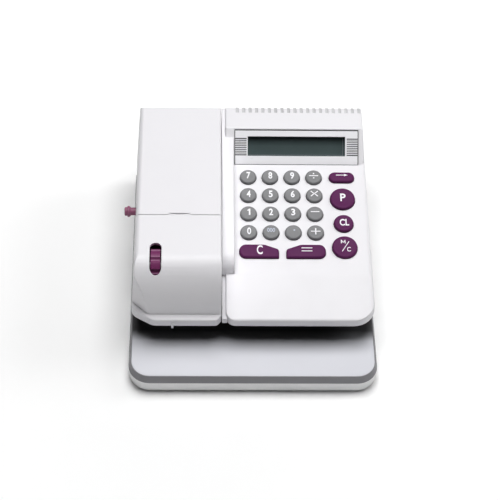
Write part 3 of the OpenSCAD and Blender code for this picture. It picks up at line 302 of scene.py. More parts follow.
def make_worked_metal():
    group, w, given, out = shader_group(
        "worked_metal",
        {"Metal Colour": (0.6, 0.6, 0.6, 1.0), "Line Depth": 0.4, "Cloud": 0.15, "Polish": 0.35,
         "Lines X": 1.0, "Lines Y": 1.0, "Lines Z": 1.0},
        {"Color": "Color", "Roughness": "Float", "Height": "Float"})
    place = w.add("TexCoord").outputs
    stretch = w.add("CombineXYZ", {"X": given["Lines X"], "Y": given["Lines Y"], "Z": given["Lines Z"]})
    along = w.add("VectorMath", {0: place["Object"], 1: stretch.outputs[0]}, operation="MULTIPLY")
    lines = w.add("TexNoise", {"Vector": along.outputs["Vector"], "Scale": 9000.0, "Detail": 3.0})
    cloud = w.add("TexNoise", {"Vector": place["Object"], "Scale": 120.0, "Detail": 5.0, "Roughness": 0.6})
    spread = w.math("MULTIPLY", w.math("SUBTRACT", cloud.outputs["Fac"], 0.5), given["Cloud"])
    streak = w.math("MULTIPLY", w.math("SUBTRACT", lines.outputs["Fac"], 0.5), 0.12)
    factor = w.math("ADD", w.math("ADD", 1.0, spread), streak)
    tone = w.add("VectorMath", {0: given["Metal Colour"]}, operation="SCALE")
    w.tree.links.new(factor, tone.inputs["Scale"])
    w.tree.links.new(tone.outputs["Vector"], out["Color"])
    w.tree.links.new(w.math("ADD", given["Polish"], w.math("ADD", spread, streak)), out["Roughness"])
    w.tree.links.new(w.math("MULTIPLY", lines.outputs["Fac"], given["Line Depth"]), out["Height"])
    return group


worked_metal = make_worked_metal()
print("group worked_metal:", len(worked_metal.nodes), "nodes")

# %% [markdown]
# Each finish could be wired by hand, but then every mend would be made many times over. Two makers turn
# the groups into finished materials instead, and a third sets the first up for printing ink. Each
# material keeps its Principled shader in the open, with its even values (coat, specular level, metal or
# not) typed on the shader's own sockets.

# %% Makers of materials


def principled(name, settings):
    """A new material, its wiring and its Principled shader with the even values set."""
    material = bpy.data.materials.new(name)
    material.use_nodes = True
    w = Wiring(material.node_tree)
    shader = material.node_tree.nodes["Principled BSDF"]
    for socket, value in settings.items():
        shader.inputs[socket].default_value = value
    return material, w, shader


def bump(w, shader, height, depth_mm, strength, normal=None):
    """Relief of the given depth in front of the shader's normal."""
    inputs = {"Height": height, "Distance": depth_mm * MM, "Strength": strength}
    if normal is not None:
        inputs["Normal"] = normal
    w.tree.links.new(w.add("Bump", inputs).outputs["Normal"], shader.inputs["Normal"])


def skinned(w, shader, skin_group, values, worn, wear, edge):
    """Puts a skin group and the worn edges into a material and wires their colours; returns both nodes."""
    skin = w.add("Group", node_tree=skin_group)
    rim = w.add("Group", node_tree=worn_edges)
    for node, labels in ((skin, values), (rim, {"Worn Colour": (*worn, 1.0), "Wear": wear, "Edge mm": edge})):
        for label, value in labels.items():
            node.inputs[label].default_value = value
    w.tree.links.new(skin.outputs["Color"], rim.inputs["Colour"])
    w.tree.links.new(rim.outputs["Color"], shader.inputs["Base Color"])
    return skin, rim


def plastic(name, colour, worn=None, wear=0.25, edge=0.4, grain=0.35, depth=0.02, polish=0.5, handling=0.08,
            drift=0.03, dust=0.03, **settings):
    """A moulded plastic or rubber: skin, worn edges and grain."""
    material, w, shader = principled(name, settings)
    values = {"Resin Colour": (*colour, 1.0), "Resin Drift": drift, "Grain Size mm": grain, "Polish": polish,
              "Handling": handling, "Dust": dust}
    worn = worn or [min(1.0, c * 1.15 + 0.02) for c in colour]
    skin, rim = skinned(w, shader, moulded_skin, values, worn, wear, edge)
    rough = w.math("SUBTRACT", skin.outputs["Roughness"], w.math("MULTIPLY", rim.outputs["Mask"], 0.15))
    w.tree.links.new(rough, shader.inputs["Roughness"])
    bump(w, shader, skin.outputs["Height"], depth, 0.6, rim.outputs["Normal"])
    return material


def metal(name, colour, lines=(1.0, 0.01, 1.0), polish=0.35, cloud=0.15, depth=0.01, wear=0.3, edge=0.25):
    """A worked metal; its fine lines run along the axis whose number is small."""
    material, w, shader = principled(name, {"Metallic": 1.0})
    values = {"Metal Colour": (*colour, 1.0), "Polish": polish, "Cloud": cloud,
              "Lines X": lines[0], "Lines Y": lines[1], "Lines Z": lines[2]}
    worn = [min(1.0, c * 1.3) for c in colour]
    skin, rim = skinned(w, shader, worked_metal, values, worn, wear, edge)
    w.tree.links.new(skin.outputs["Roughness"], shader.inputs["Roughness"])
    bump(w, shader, skin.outputs["Height"], depth, 0.5, rim.outputs["Normal"])
    return material


def printing_ink(name, colour, depth, polish, drift=0.03):
    """An even, dust-free ink without wear."""
    return plastic(name, colour, wear=0.0, grain=0.15, depth=depth, polish=polish, drift=drift, dust=0.0)


print("makers: plastic, metal and, for what is printed, ink")

# %% [markdown]
# The white is a cool white ABS; the deck is a mid grey with a coarser spark texture; the keys are satin,
# and the lettered keys are a red purple. A colour could be read off the picture and typed in, but the
# picture's light is already in it. So flat, upward-facing patches of the picture were compared with test
# renders, and each colour was divided by the light that falls on it.

# %% The finishes
finishes = {
    "white_shell": plastic("white_abs", (0.800, 0.792, 0.815), worn=(0.86, 0.855, 0.87), wear=0.3, edge=1.2,
                           grain=0.45, depth=0.018, polish=0.47, drift=0.012, dust=0.02),
    "deck_grey": plastic("deck_grey_abs", (0.300, 0.298, 0.315), grain=0.5, depth=0.03, polish=0.52,
                         drift=0.04),
    "table_grey": plastic("table_lacquer", (0.68, 0.685, 0.727), wear=0.15, grain=0.8, depth=0.006, polish=0.36,
                          drift=0.02, handling=0.14),
    "dark_plastic": plastic("black_abs", (0.020, 0.020, 0.022), wear=0.2, grain=0.4, depth=0.03, polish=0.5,
                            drift=0.1, dust=0.06),
    "black_rubber": plastic("black_rubber", (0.016, 0.016, 0.017), wear=0.3, worn=(0.07, 0.07, 0.07), grain=0.3,
                            depth=0.04, polish=0.8, drift=0.15, dust=0.1),
    "bezel_frame": plastic("bezel_film", (0.90, 0.895, 0.92), wear=0.1, grain=0.2, depth=0.004, polish=0.3,
                           drift=0.01),
    "key_grey": plastic("key_grey_abs", (0.255, 0.256, 0.263), worn=(0.40, 0.40, 0.41), wear=0.6, edge=0.5,
                        grain=0.3, depth=0.02, polish=0.46, drift=0.06, handling=0.12, dust=0.05,
                        **{"Specular IOR Level": 0.35}),
    "key_purple": plastic("key_purple_abs", (0.133, 0.026, 0.113), worn=(0.20, 0.075, 0.18), wear=0.4, edge=0.5,
                          grain=0.3, depth=0.015, polish=0.48, drift=0.08, handling=0.1, dust=0.0,
                          **{"Specular IOR Level": 0.16}),
    "knob_purple": plastic("knob_purple_abs", (0.32, 0.12, 0.20), worn=(0.32, 0.13, 0.20), wear=0.5, edge=0.4,
                           grain=0.3, depth=0.02, polish=0.42, drift=0.08, dust=0.03),
    "mat_rubber": plastic("mat_silicone", (0.50, 0.50, 0.48), wear=0.1, grain=0.25, depth=0.01, polish=0.6),
    "nylon": plastic("white_nylon", (0.70, 0.685, 0.62), wear=0.2, grain=0.3, depth=0.01, polish=0.42,
                     drift=0.05, **{"Subsurface Weight": 0.15, "Subsurface Scale": 0.002}),
    "ink_foam": plastic("inked_foam", (0.020, 0.008, 0.030), wear=0.0, grain=0.9, depth=0.25, polish=0.75,
                        drift=0.4, dust=0.0),
    "screw_steel": metal("zinc_steel", (0.56, 0.57, 0.58), lines=(1.0, 0.01, 1.0), polish=0.38, cloud=0.22),
    "motor_can": metal("motor_can_steel", (0.42, 0.42, 0.43), lines=(0.01, 1.0, 1.0), polish=0.4, cloud=0.1),
    "pinion_brass": metal("machined_brass", (0.62, 0.44, 0.17), lines=(1.0, 1.0, 0.02), polish=0.3, cloud=0.12),
    "type_steel": metal("hardened_steel", (0.16, 0.16, 0.17), lines=(1.0, 0.02, 1.0), polish=0.42, cloud=0.3),
}
print("finishes:", len(finishes))

# %% [markdown]
# Three surfaces need more than a skin. A circuit board shows its copper tracks through the green mask as
# slightly lighter, raised lines, with tinned pads between them. The display is a grey-green glass under a clear
# polished sheet, with painted shade: lighter towards its lower edge and almost black along the upper one. The
# paper table's lacquer carries painted shade too: it goes almost black towards the print line, under the head's
# overhang. Each could be a second piece laid on top, but a range over the surface's own coordinates blends
# softly and adds no edges.

# %% Circuit board, display glass and table, with painted shade


def circuit_board():
    """Green solder mask over copper tracks, with tinned pads."""
    material, w, shader = principled("solder_mask", {"IOR": 1.5, "Coat Weight": 0.4, "Coat Roughness": 0.15})
    place = w.add("TexCoord").outputs["Object"]
    tracks = w.add("TexBrick", {"Vector": place, "Scale": 160.0, "Mortar Size": 0.06, "Color1": (0, 0, 0, 1),
                                "Color2": (0, 0, 0, 1), "Mortar": (1, 1, 1, 1), "Brick Width": 1.7,
                                "Row Height": 0.4}).outputs["Color"]
    pads = w.add("TexVoronoi", {"Vector": place, "Scale": 130.0}).outputs["Distance"]
    pad = w.between(pads, 0.16, 0.12)
    fibre = w.add("TexNoise", {"Vector": place, "Scale": 900.0, "Detail": 2.0}).outputs["Fac"]
    green = w.blend(tracks, (0.010, 0.075, 0.028, 1), (0.020, 0.150, 0.055, 1))
    w.tree.links.new(w.blend(pad, green, (0.55, 0.55, 0.52, 1)), shader.inputs["Base Color"])
    w.tree.links.new(w.between(fibre, 0.0, 1.0, 0.32, 0.5), shader.inputs["Roughness"])
    w.tree.links.new(pad, shader.inputs["Metallic"])
    bump(w, shader, w.math("ADD", tracks, w.math("MULTIPLY", fibre, 0.2)), 0.03, 0.5)
    return material


def display_glass():
    """The unlit display, grey-green glass with painted shade: dark above, grey-green below, with a faint grid
    of cells in its gloss.
    """
    material, w, shader = principled("display_glass", {"Coat Weight": 0.7, "Coat Roughness": 0.03, "IOR": 1.5})
    place = w.add("TexCoord").outputs["Object"]
    low_y, high_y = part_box("lcd_display")[0].y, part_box("lcd_display")[1].y
    down = w.between(w.add("SeparateXYZ", {"Vector": place}).outputs["Y"], high_y, low_y)
    cloud = w.add("TexNoise", {"Vector": place, "Scale": 35.0, "Detail": 2.0}).outputs["Fac"]
    # painted shade: the glass colour darkens towards the top, where the recess shades it, mixed with a random
    # cloud of tone
    mix = w.math("ADD", w.math("MULTIPLY", down, 0.7), w.math("MULTIPLY", cloud, 0.3))
    cloud_and_painted_shade = w.blend(mix, (0.047, 0.065, 0.067, 1), (0.112, 0.146, 0.146, 1))
    # painted shadow: along the upper edge the colour goes almost black, standing for the bezel's shadow
    out_of_painted_shadow = w.between(down, 0.02, 0.55)
    w.tree.links.new(w.blend(out_of_painted_shadow, (0.002, 0.003, 0.004, 1), cloud_and_painted_shade), shader.inputs["Base Color"])
    cells = w.add("TexBrick", {"Vector": place, "Scale": 95.0, "Mortar Size": 0.02, "Brick Width": 0.8,
                               "Row Height": 1.4}).outputs["Color"]
    w.tree.links.new(w.math("MULTIPLY_ADD", cells, 0.02, 0.10), shader.inputs["Roughness"])
    return material


SHADE_STARTS, SHADE_FULL = -81 * MM, -70 * MM


def paint_throat_shade(material):
    """Blends a finished lacquer into near-black painted shade from SHADE_STARTS to SHADE_FULL along the table's
    depth.
    """
    w = Wiring(material.node_tree)
    paint = material.node_tree.nodes["Principled BSDF"].inputs["Base Color"]
    lacquer = paint.links[0].from_socket
    depth_in = w.add("SeparateXYZ", {"Vector": w.add("TexCoord").outputs["Object"]}).outputs["Y"]
    # painted shade: the lacquer goes almost black under the head, where the throat's shadow falls
    w.tree.links.new(w.blend(w.between(depth_in, SHADE_STARTS, SHADE_FULL), lacquer, (0.12, 0.12, 0.125, 1)), paint)


paint_throat_shade(finishes["table_grey"])
finishes["circuit_green"] = circuit_board()
finishes["lcd_glass"] = display_glass()
slot_of = {part["node"]: part["material_slot"] for part in frame["record"]["subparts"]}
for name, piece in nodes.items():
    piece.data.materials.clear()
    piece.data.materials.append(finishes[slot_of[name]])
print("dressed nodes:", len(nodes), "with", len(set(slot_of.values())), "finishes")

# %% [markdown]
# The white tray under the deck is the same resin as the shell, moulded in a polished tool; its colour is
# painted lighter than the shell's, as painted light for the light it catches from the desk. The thumb wheel is
# a redder purple than the keys. The floor is white paper. Near the machine it only reflects, which keeps the
# contact shadow deep; from there outwards it glows a little more, so it stays white in every view. A bigger
# lamp could do that too, but would lighten the shadow.

# %% Tray, thumb wheel and floor
FLOOR_GLOWS_FROM, FLOOR_GLOWS_FULLY = 0.145, 1.0
NEAR_GLOW, FAR_GLOW = (0.015, 0.015, 0.015, 1), (ROOM_SEEN, ROOM_SEEN, ROOM_SEEN, 1)
# painted light: the tray's white is lighter than the shell's same resin, standing for the light it catches from
# the desk
tray_white_painted_light = plastic("tray_abs_painted_light", (0.90, 0.90, 0.905), wear=0.2, edge=0.5, grain=0.4, depth=0.01,
                     polish=0.35, drift=0.01, dust=0.0)
nodes["base_tray"].data.materials[0] = tray_white_painted_light
wheel_purple = plastic("wheel_purple_abs", (0.205, 0.040, 0.138), worn=(0.34, 0.12, 0.26), wear=0.4, edge=0.3,
                       grain=0.3, depth=0.02, polish=0.42, drift=0.08, dust=0.02)
nodes["thumb_wheel"].data.materials[0] = wheel_purple
floor_paint, w, shader = principled("floor_paint", {"Roughness": 0.9, "Emission Strength": 1.0})
floor_place = w.add("SeparateXYZ", {"Vector": w.add("TexCoord").outputs["Object"]}).outputs
reach = w.math("SQRT", w.math("ADD", w.math("MULTIPLY", floor_place["X"], floor_place["X"]),
                              w.math("MULTIPLY", floor_place["Y"], floor_place["Y"])))
w.tree.links.new(w.blend(w.between(reach, FLOOR_GLOWS_FROM, FLOOR_GLOWS_FULLY), NEAR_GLOW, FAR_GLOW),
                 shader.inputs["Emission Color"])
paper = w.add("TexNoise", {"Vector": w.add("TexCoord").outputs["Object"], "Scale": 40.0, "Detail": 3.0})
w.tree.links.new(w.blend(paper.outputs["Fac"], (0.985, 0.985, 0.985, 1), (0.97, 0.97, 0.97, 1)),
                 shader.inputs["Base Color"])
floor.data.materials.append(floor_paint)
print("painted: tray, thumb wheel, floor")

# %% [markdown]
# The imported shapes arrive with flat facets. On a real moulding the tower's curved front is smooth, so the
# facets would show as faint bands. Finer facets would hide them at the price of a heavy mesh. Two
# modifiers do it for nothing and leave the shapes alone: a small node tree merges doubled corners,
# smooths every edge that bends less than 24 degrees and keeps the others sharp, and the weighted normals
# keep the large flat faces flat.

# %% Smooth curves, sharp edges
SHARP_ANGLE = math.radians(24.0)


def make_smoothing():
    """A geometry node tree that smooths only the edges bent less than SHARP_ANGLE."""
    tree = bpy.data.node_groups.new("smooth_curves", "GeometryNodeTree")
    tree.interface.new_socket("Geometry", in_out="INPUT", socket_type="NodeSocketGeometry")
    tree.interface.new_socket("Geometry", in_out="OUTPUT", socket_type="NodeSocketGeometry")
    start, end = tree.nodes.new("NodeGroupInput"), tree.nodes.new("NodeGroupOutput")
    merge = tree.nodes.new("GeometryNodeMergeByDistance")
    merge.inputs["Distance"].default_value = 0.002 * MM
    faces, edges = tree.nodes.new("GeometryNodeSetShadeSmooth"), tree.nodes.new("GeometryNodeSetShadeSmooth")
    faces.domain, edges.domain = "FACE", "EDGE"
    angle = tree.nodes.new("GeometryNodeInputMeshEdgeAngle")
    gentle = tree.nodes.new("FunctionNodeCompare")
    gentle.operation = "LESS_THAN"
    gentle.inputs["B"].default_value = SHARP_ANGLE
    for a, b in ((start.outputs[0], merge.inputs["Geometry"]), (merge.outputs[0], faces.inputs["Geometry"]),
                 (faces.outputs[0], edges.inputs["Geometry"]), (edges.outputs[0], end.inputs[0]),
                 (angle.outputs["Unsigned Angle"], gentle.inputs["A"]),
                 (gentle.outputs["Result"], edges.inputs["Shade Smooth"])):
        tree.links.new(a, b)
    return tree


smoothing = make_smoothing()
for piece in nodes.values():
    piece.modifiers.new("smooth_curves", "NODES").node_group = smoothing
    weighted = piece.modifiers.new("flat_faces_stay_flat", "WEIGHTED_NORMAL")
    weighted.keep_sharp, weighted.weight = True, 50
print("smoothed nodes:", len(nodes))

# %% [markdown]
# The keys are what the eye goes to first. A real cap has a rounded shoulder that runs down into its side
# and a shallow dish for the fingertip, and under the panel a flange that keeps it in. A modeller could
# bevel a cylinder, but the C and equals keys have slanted outlines, so every cap is swept the same way:
# one outline of rounded corners is moved inwards step by step while the height follows the shoulder.
# The pitch, the slope and the places are those of the CAD keys, in millimetres.

# %% Outlines with rounded corners
KEY_PITCH, SLOPE = 19.0, math.radians(7.9)
ROW_START = Vector((-3.4872, 55.1329, 74.0758))
SIDE_COLUMN = 24.3117
KEY_R, LARGE_KEY_R, MIDDLE_KEY_R = 7.0, 10.64, 8.33
KEY_HEIGHT, FLANGE_TOP, FLANGE_OUT, FLANGE_THICK = 2.8, -2.7, 1.2, 1.0


def moved_in(path, d):
    """The corners [x, y, radius] moved inwards by d; the radii shrink with them."""
    moved = []
    for i, (x, y, r) in enumerate(path):
        a, b = path[i - 1], path[(i + 1) % len(path)]
        arriving = Vector((x - a[0], y - a[1])).normalized()
        leaving = Vector((b[0] - x, b[1] - y)).normalized()
        shift = Vector((-arriving.y - leaving.y, arriving.x + leaving.x)) * (d / (1 + arriving.dot(leaving)))
        moved.append((x + shift.x, y + shift.y, max(0.0, r - d)))
    return moved


def ring_points(path, steps):
    """Points round the path, steps + 1 for each corner however small its radius is."""
    points = []
    for i, (x, y, r) in enumerate(path):
        corner, a, b = Vector((x, y)), Vector(path[i - 1][:2]), Vector(path[(i + 1) % len(path)][:2])
        u, v = (a - corner).normalized(), (b - corner).normalized()
        half = math.acos(max(-1.0, min(1.0, u.dot(v)))) / 2
        middle = corner + (u + v).normalized() * (r / math.sin(half))
        start = corner + u * (r / math.tan(half)) - middle
        for s in range(steps + 1):
            t = (math.pi - 2 * half) * s / steps
            points.append(middle + Vector((start.x * math.cos(t) - start.y * math.sin(t),
                                           start.x * math.sin(t) + start.y * math.cos(t))))
    return points


def round_path(r):
    """A circle, as a square whose corners are all radius."""
    return [(-r, -r, r), (r, -r, r), (r, r, r), (-r, r, r)]


def slanted_path(side):
    """The long caps of C (side 1) and equals (side -1), with a slanted corner on the side given."""
    w, h = 1.74 * KEY_PITCH / 2, 6.4
    if side > 0:
        return [(-w, -h, 5.6), (w, -h, 0.8), (w, h - 4.7, 2), (w - 12, h, 10), (-w, h, 5.6)]
    return [(-w, -h, 0.8), (w, -h, 5.6), (w, h, 5.6), (-w + 12, h, 10), (-w, h - 4.7, 2)]


CORNER_STEPS = 16
print("round key path:", len(ring_points(round_path(KEY_R), CORNER_STEPS)), "points")

# %% [markdown]
# Every solid piece made here starts as rings of points, stacked and joined with quads, and the closed
# mesh then becomes an object.

# %% From rings of points to a piece


def riding(bm, name, material, body):
    """Turns a bmesh into a named piece with its material, which rides on a body."""
    mesh = bpy.data.meshes.new(name)
    bm.to_mesh(mesh)
    bm.free()
    mesh.materials.append(material)
    piece = bpy.data.objects.new(name, mesh)
    bpy.context.scene.collection.objects.link(piece)
    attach(piece, body)
    return piece


def piece_from(bm, name, material, body, smooth=True):
    """Cleans a closed bmesh and makes it a piece."""
    bmesh.ops.remove_doubles(bm, verts=bm.verts, dist=0.004 * MM)
    bmesh.ops.dissolve_degenerate(bm, edges=bm.edges, dist=0.002 * MM)
    bmesh.ops.recalc_face_normals(bm, faces=bm.faces)
    piece = riding(bm, name, material, body)
    for face in piece.data.polygons:
        face.use_smooth = smooth
    return piece


def stacked_rings(bm, rings, close_start=True, close_end=True):
    """Joins rings of equal point counts with quads; returns the last ring's vertices."""
    loops = [[bm.verts.new(p) for p in ring] for ring in rings]
    count = len(loops[0])
    for low, high in zip(loops, loops[1:]):
        for i in range(count):
            j = (i + 1) % count
            bm.faces.new((low[i], low[j], high[j], high[i]))
    if close_start:
        bm.faces.new(loops[0][::-1])
    if close_end:
        bm.faces.new(loops[-1])
    return loops[-1]


print("helpers: stacked_rings, piece_from, riding")

# %% [markdown]
# The shoulder is a quarter of an ellipse, 1.7 mm in and 1.2 mm down. Inside it the small round keys are
# dished by a third of a millimetre and the large ones by half; the long keys stay flat. A sculpted dish
# would do for the eye, but the printed figures have to lie on the same surface, so one function gives the
# cap's height to both. Each cap hides the plain CAD key that it replaces.

# %% Key caps
SHOULDER_IN, SHOULDER_DOWN, SHOULDER_STEPS = 1.7, 1.2, 8
DISH_SHARES = (0.85, 0.7, 0.55, 0.4, 0.25, 0.1)


def dish_depth(radius):
    """How deep the middle of a round cap lies under its rim."""
    return 0.36 if radius < 9 else 0.5


def cap_height(radius, x, y):
    """Height of the cap's top over the panel at x, y from its centre; a long cap has radius 0."""
    if not radius:
        return KEY_HEIGHT
    share = min(1.0, math.hypot(x, y) / (radius - SHOULDER_IN))
    return KEY_HEIGHT - dish_depth(radius) * (1 - share * share)


def on_panel(x, u, h):
    """A point over the keypad, from its place along X, up the slope and along the panel's normal."""
    return Vector((x, ROW_START.y + u * math.cos(SLOPE) - h * math.sin(SLOPE),
                   ROW_START.z + u * math.sin(SLOPE) + h * math.cos(SLOPE))) * MM


def key_cap(name, x, u, path, radius):
    """A cap round the place x, u of the keypad: flange, side, shoulder and, on a round key, the dish."""
    profile = [(-FLANGE_OUT, FLANGE_TOP - FLANGE_THICK), (-FLANGE_OUT, FLANGE_TOP), (0.0, FLANGE_TOP),
               (0.0, KEY_HEIGHT - SHOULDER_DOWN)]
    for step in range(1, SHOULDER_STEPS + 1):
        t = math.radians(90 * step / SHOULDER_STEPS)
        profile.append((SHOULDER_IN * (1 - math.cos(t)), KEY_HEIGHT - SHOULDER_DOWN * (1 - math.sin(t))))
    if radius:
        for share in DISH_SHARES:
            r = share * (radius - SHOULDER_IN)
            profile.append((radius - r, cap_height(radius, r, 0)))
    bm = bmesh.new()
    stacked_rings(bm, [[on_panel(x + p.x, u + p.y, h) for p in ring_points(moved_in(path, d), CORNER_STEPS)]
                       for d, h in profile])
    finish = "key_grey" if radius == KEY_R else "key_purple"
    cap = piece_from(bm, name + "_cap", finishes[finish], name)
    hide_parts(name)
    return cap


columns = [ROW_START.x + KEY_PITCH * i for i in range(4)] + [ROW_START.x + 3 * KEY_PITCH + SIDE_COLUMN]
grid = [["7", "8", "9", "divide"], ["4", "5", "6", "multiply"], ["1", "2", "3", "minus"],
        ["0", "000", "point", "plus"]]
keys = {"key_" + mark: (columns[i], -row * KEY_PITCH, round_path(KEY_R), KEY_R)
        for row, marks in enumerate(grid) for i, mark in enumerate(marks)}
keys["key_arrow"] = (columns[4], 0.0, [(-10.9, -5, 5), (10.9, -5, 5), (10.9, 5, 5), (-10.9, 5, 5)], 0.0)
# the purple keys lie off the grid; their places were measured in key pitches
keys["key_p"] = (columns[4], -1.184 * KEY_PITCH, round_path(LARGE_KEY_R), LARGE_KEY_R)
keys["key_cl"] = (columns[4], -2.51 * KEY_PITCH, round_path(MIDDLE_KEY_R), MIDDLE_KEY_R)
keys["key_mc"] = (columns[4], -3.774 * KEY_PITCH, round_path(LARGE_KEY_R), LARGE_KEY_R)
keys["key_c"] = (columns[0] + 0.45 * KEY_PITCH, -4.005 * KEY_PITCH, slanted_path(1), 0.0)
keys["key_equals"] = (columns[0] + 2.545 * KEY_PITCH, -4.005 * KEY_PITCH, slanted_path(-1), 0.0)
caps = [key_cap(name, *place) for name, place in keys.items()]
print("key caps:", len(caps), "faces on one:", len(caps[0].data.polygons))

# %% [markdown]
# The figures are printed in white ink, a few hundredths of a millimetre thick. Blender's own font is a
# plain sans; squeezed to the printed width and fattened it reads like the narrow bold figures of the
# picture. An image of each figure could be laid on, but its edges would soften up close, so each glyph is
# turned into a mesh and fitted to its box in millimetres. Signs without curves are plain strokes.

# %% Glyphs and strokes


def glyph_mesh(text, fat):
    """The text as a closed mesh, one unit wide and high around the origin and one unit thick."""
    data = bpy.data.curves.new("glyph", "FONT")
    data.body, data.offset, data.extrude, data.resolution_u = text, fat, 0.05, 5
    holder = bpy.data.objects.new("glyph", data)
    bpy.context.scene.collection.objects.link(holder)
    bpy.context.view_layer.update()
    mesh = bpy.data.meshes.new_from_object(holder.evaluated_get(bpy.context.evaluated_depsgraph_get()))
    bpy.data.objects.remove(holder)
    spans = [(min(v.co[i] for v in mesh.vertices), max(v.co[i] for v in mesh.vertices)) for i in range(3)]
    for v in mesh.vertices:
        v.co = Vector([(v.co[i] - (lo + hi) / 2) / (hi - lo) for i, (lo, hi) in enumerate(spans)])
    return mesh


def glyph(text, x, y, w, h, fat=0.028):
    """Points and faces of a text in a box w wide and h high round x, y."""
    mesh = glyph_mesh(text, fat)
    points = [(x + v.co.x * w, y + v.co.y * h, v.co.z + 0.5) for v in mesh.vertices]
    faces = [f.vertices[:] for f in mesh.polygons]
    bpy.data.meshes.remove(mesh)
    return points, faces


def bar(x0, y0, x1, y1, thick, taper=1.0):
    """A straight stroke; taper is the far end's share of the thickness."""
    along = Vector((x1 - x0, y1 - y0)).normalized()
    side = Vector((-along.y, along.x)) * thick / 2
    flat = [(x0 - side.x, y0 - side.y), (x1 - side.x * taper, y1 - side.y * taper),
            (x1 + side.x * taper, y1 + side.y * taper), (x0 + side.x, y0 + side.y)]
    points = [(x, y, z) for z in (0.0, 1.0) for x, y in flat]
    return points, [(3, 2, 1, 0), (4, 5, 6, 7)] + [(i, (i + 1) % 4, (i + 1) % 4 + 4, i + 4) for i in range(4)]


print("stroke points:", len(bar(0, 0, 1, 0, 1)[0]))

# %% [markdown]
# The figures have to follow the dish of the cap. They could be shrunk onto it with a modifier; the same
# height function that shaped the cap puts each point where it belongs, a little over the plastic.

# %% Printed figures
INK_OVER, INK_THICK = 0.03, 0.04
legend_white = printing_ink("legend_ink_white", (0.90, 0.89, 0.92), 0.004, 0.45, 0.02)
legend_grey = printing_ink("legend_ink_grey", (0.52, 0.55, 0.64), 0.004, 0.45, 0.02)


def legend(name, shapes, ink=legend_white):
    """Prints shapes on a key's cap; their third coordinate runs through the ink's thickness."""
    x, u, _, radius = keys[name]
    bm = bmesh.new()
    for points, faces in shapes:
        verts = [bm.verts.new(on_panel(x + a, u + b, cap_height(radius, a, b) + INK_OVER + c * INK_THICK))
                 for a, b, c in points]
        for face in faces:
            bm.faces.new([verts[i] for i in face])
    return riding(bm, name + "_print", ink, name)


for rise, marks in zip((1.0, 0.6, 1.0, 0.6), grid):
    for mark in marks:
        if len(mark) == 1 and mark != "1":
            legend("key_" + mark, [glyph(mark, 0.3, rise, 3.5, 6.9, 0.034)])
legend("key_1", [bar(0.9, -2.2, 0.9, 4.2, 1.45), bar(-0.9, 2.3, 0.9, 3.7, 1.1)])
legend("key_divide", [bar(-4.0, 0.9, 4.0, 0.9, 0.95), bar(-0.6, 3.1, 0.6, 3.1, 1.2),
                      bar(-0.6, -1.3, 0.6, -1.3, 1.2)])
legend("key_multiply", [bar(-3.1, -1.5, 3.1, 3.7, 1.0), bar(-3.1, 3.7, 3.1, -1.5, 1.0)])
legend("key_minus", [bar(-3.8, 1.5, 3.8, 1.5, 1.0)])
legend("key_plus", [bar(-4.1, 0.5, 4.1, 0.5, 1.0), bar(0.0, -2.7, 0.0, 3.7, 1.1)])
legend("key_point", [bar(0.1, 1.7, 1.5, 1.7, 1.4)], legend_grey)
legend("key_000", [glyph("000", 0.0, 1.6, 6.8, 4.1, 0.03)], legend_grey)
legend("key_arrow", [bar(-4.8, 1.6, 2.6, 1.6, 0.9), bar(2.2, 1.6, 5.4, 1.6, 2.7, 0.05)])
legend("key_p", [glyph("P", 0.3, 1.0, 4.8, 8.0)])
legend("key_cl", [glyph("CL", 0.5, 0.5, 8.1, 6.9, 0.034)])
legend("key_mc", [bar(-2.9, 3.2, -2.9, 6.7, 0.85), bar(0.3, 3.2, 0.3, 6.7, 0.85),
                  bar(-2.9, 6.5, -1.3, 4.0, 0.8), bar(0.3, 6.5, -1.3, 4.0, 0.8),
                  bar(-2.5, -4.8, 3.6, 5.2, 0.8), glyph("C", 3.3, -2.6, 3.3, 4.7)])
legend("key_c", [glyph("C", 0.5, 0.7, 5.1, 9.2)])
legend("key_equals", [bar(-4.0, 2.7, 5.2, 2.7, 0.95), bar(-4.0, -0.3, 5.2, -0.3, 0.95)])

# %% [markdown]
# Round the display the real machine has a printed film: a thin dark line close to the film's edge, heavier
# along the top, and at each end of the window a block of fine dark lines. A material could draw them, but they
# would soften once it is baked into a picture. They are laid on the bezel as strips a few hundredths of a
# millimetre thick, so they hold from every side.

# %% Lines on the display bezel
LCD_SLOPE = math.radians(40.0)
LCD_FOOT = Vector((38.98, 69.0, 76.0))
BEZEL_HALF, BEZEL_HIGH = 54.3, 30.9
WINDOW_HALF, WINDOW_MIDDLE, WINDOW_HIGH = 42.65, 16.3, 17.0
line_ink = printing_ink("line_ink", (0.055, 0.055, 0.060), 0.003, 0.4)
soft_line_ink = printing_ink("soft_line_ink", (0.23, 0.23, 0.25), 0.003, 0.4)


def on_display(x, u, h):
    """A point over the display panel: x from the bezel's middle, u up the slope, h along its normal."""
    return Vector((LCD_FOOT.x + x, LCD_FOOT.y + u * math.cos(LCD_SLOPE) - h * math.sin(LCD_SLOPE),
                   LCD_FOOT.z + u * math.sin(LCD_SLOPE) + h * math.cos(LCD_SLOPE))) * MM


def strips(name, spans, low, high, material):
    """Thin flat strips on the display panel; each span is x0, x1, u0, u1."""
    bm = bmesh.new()
    for x0, x1, u0, u1 in spans:
        corners = [(x0, u0), (x1, u0), (x1, u1), (x0, u1)]
        stacked_rings(bm, [[on_display(x, u, h) for x, u in corners] for h in (low, high)])
    return piece_from(bm, name, material, "machine", smooth=False)


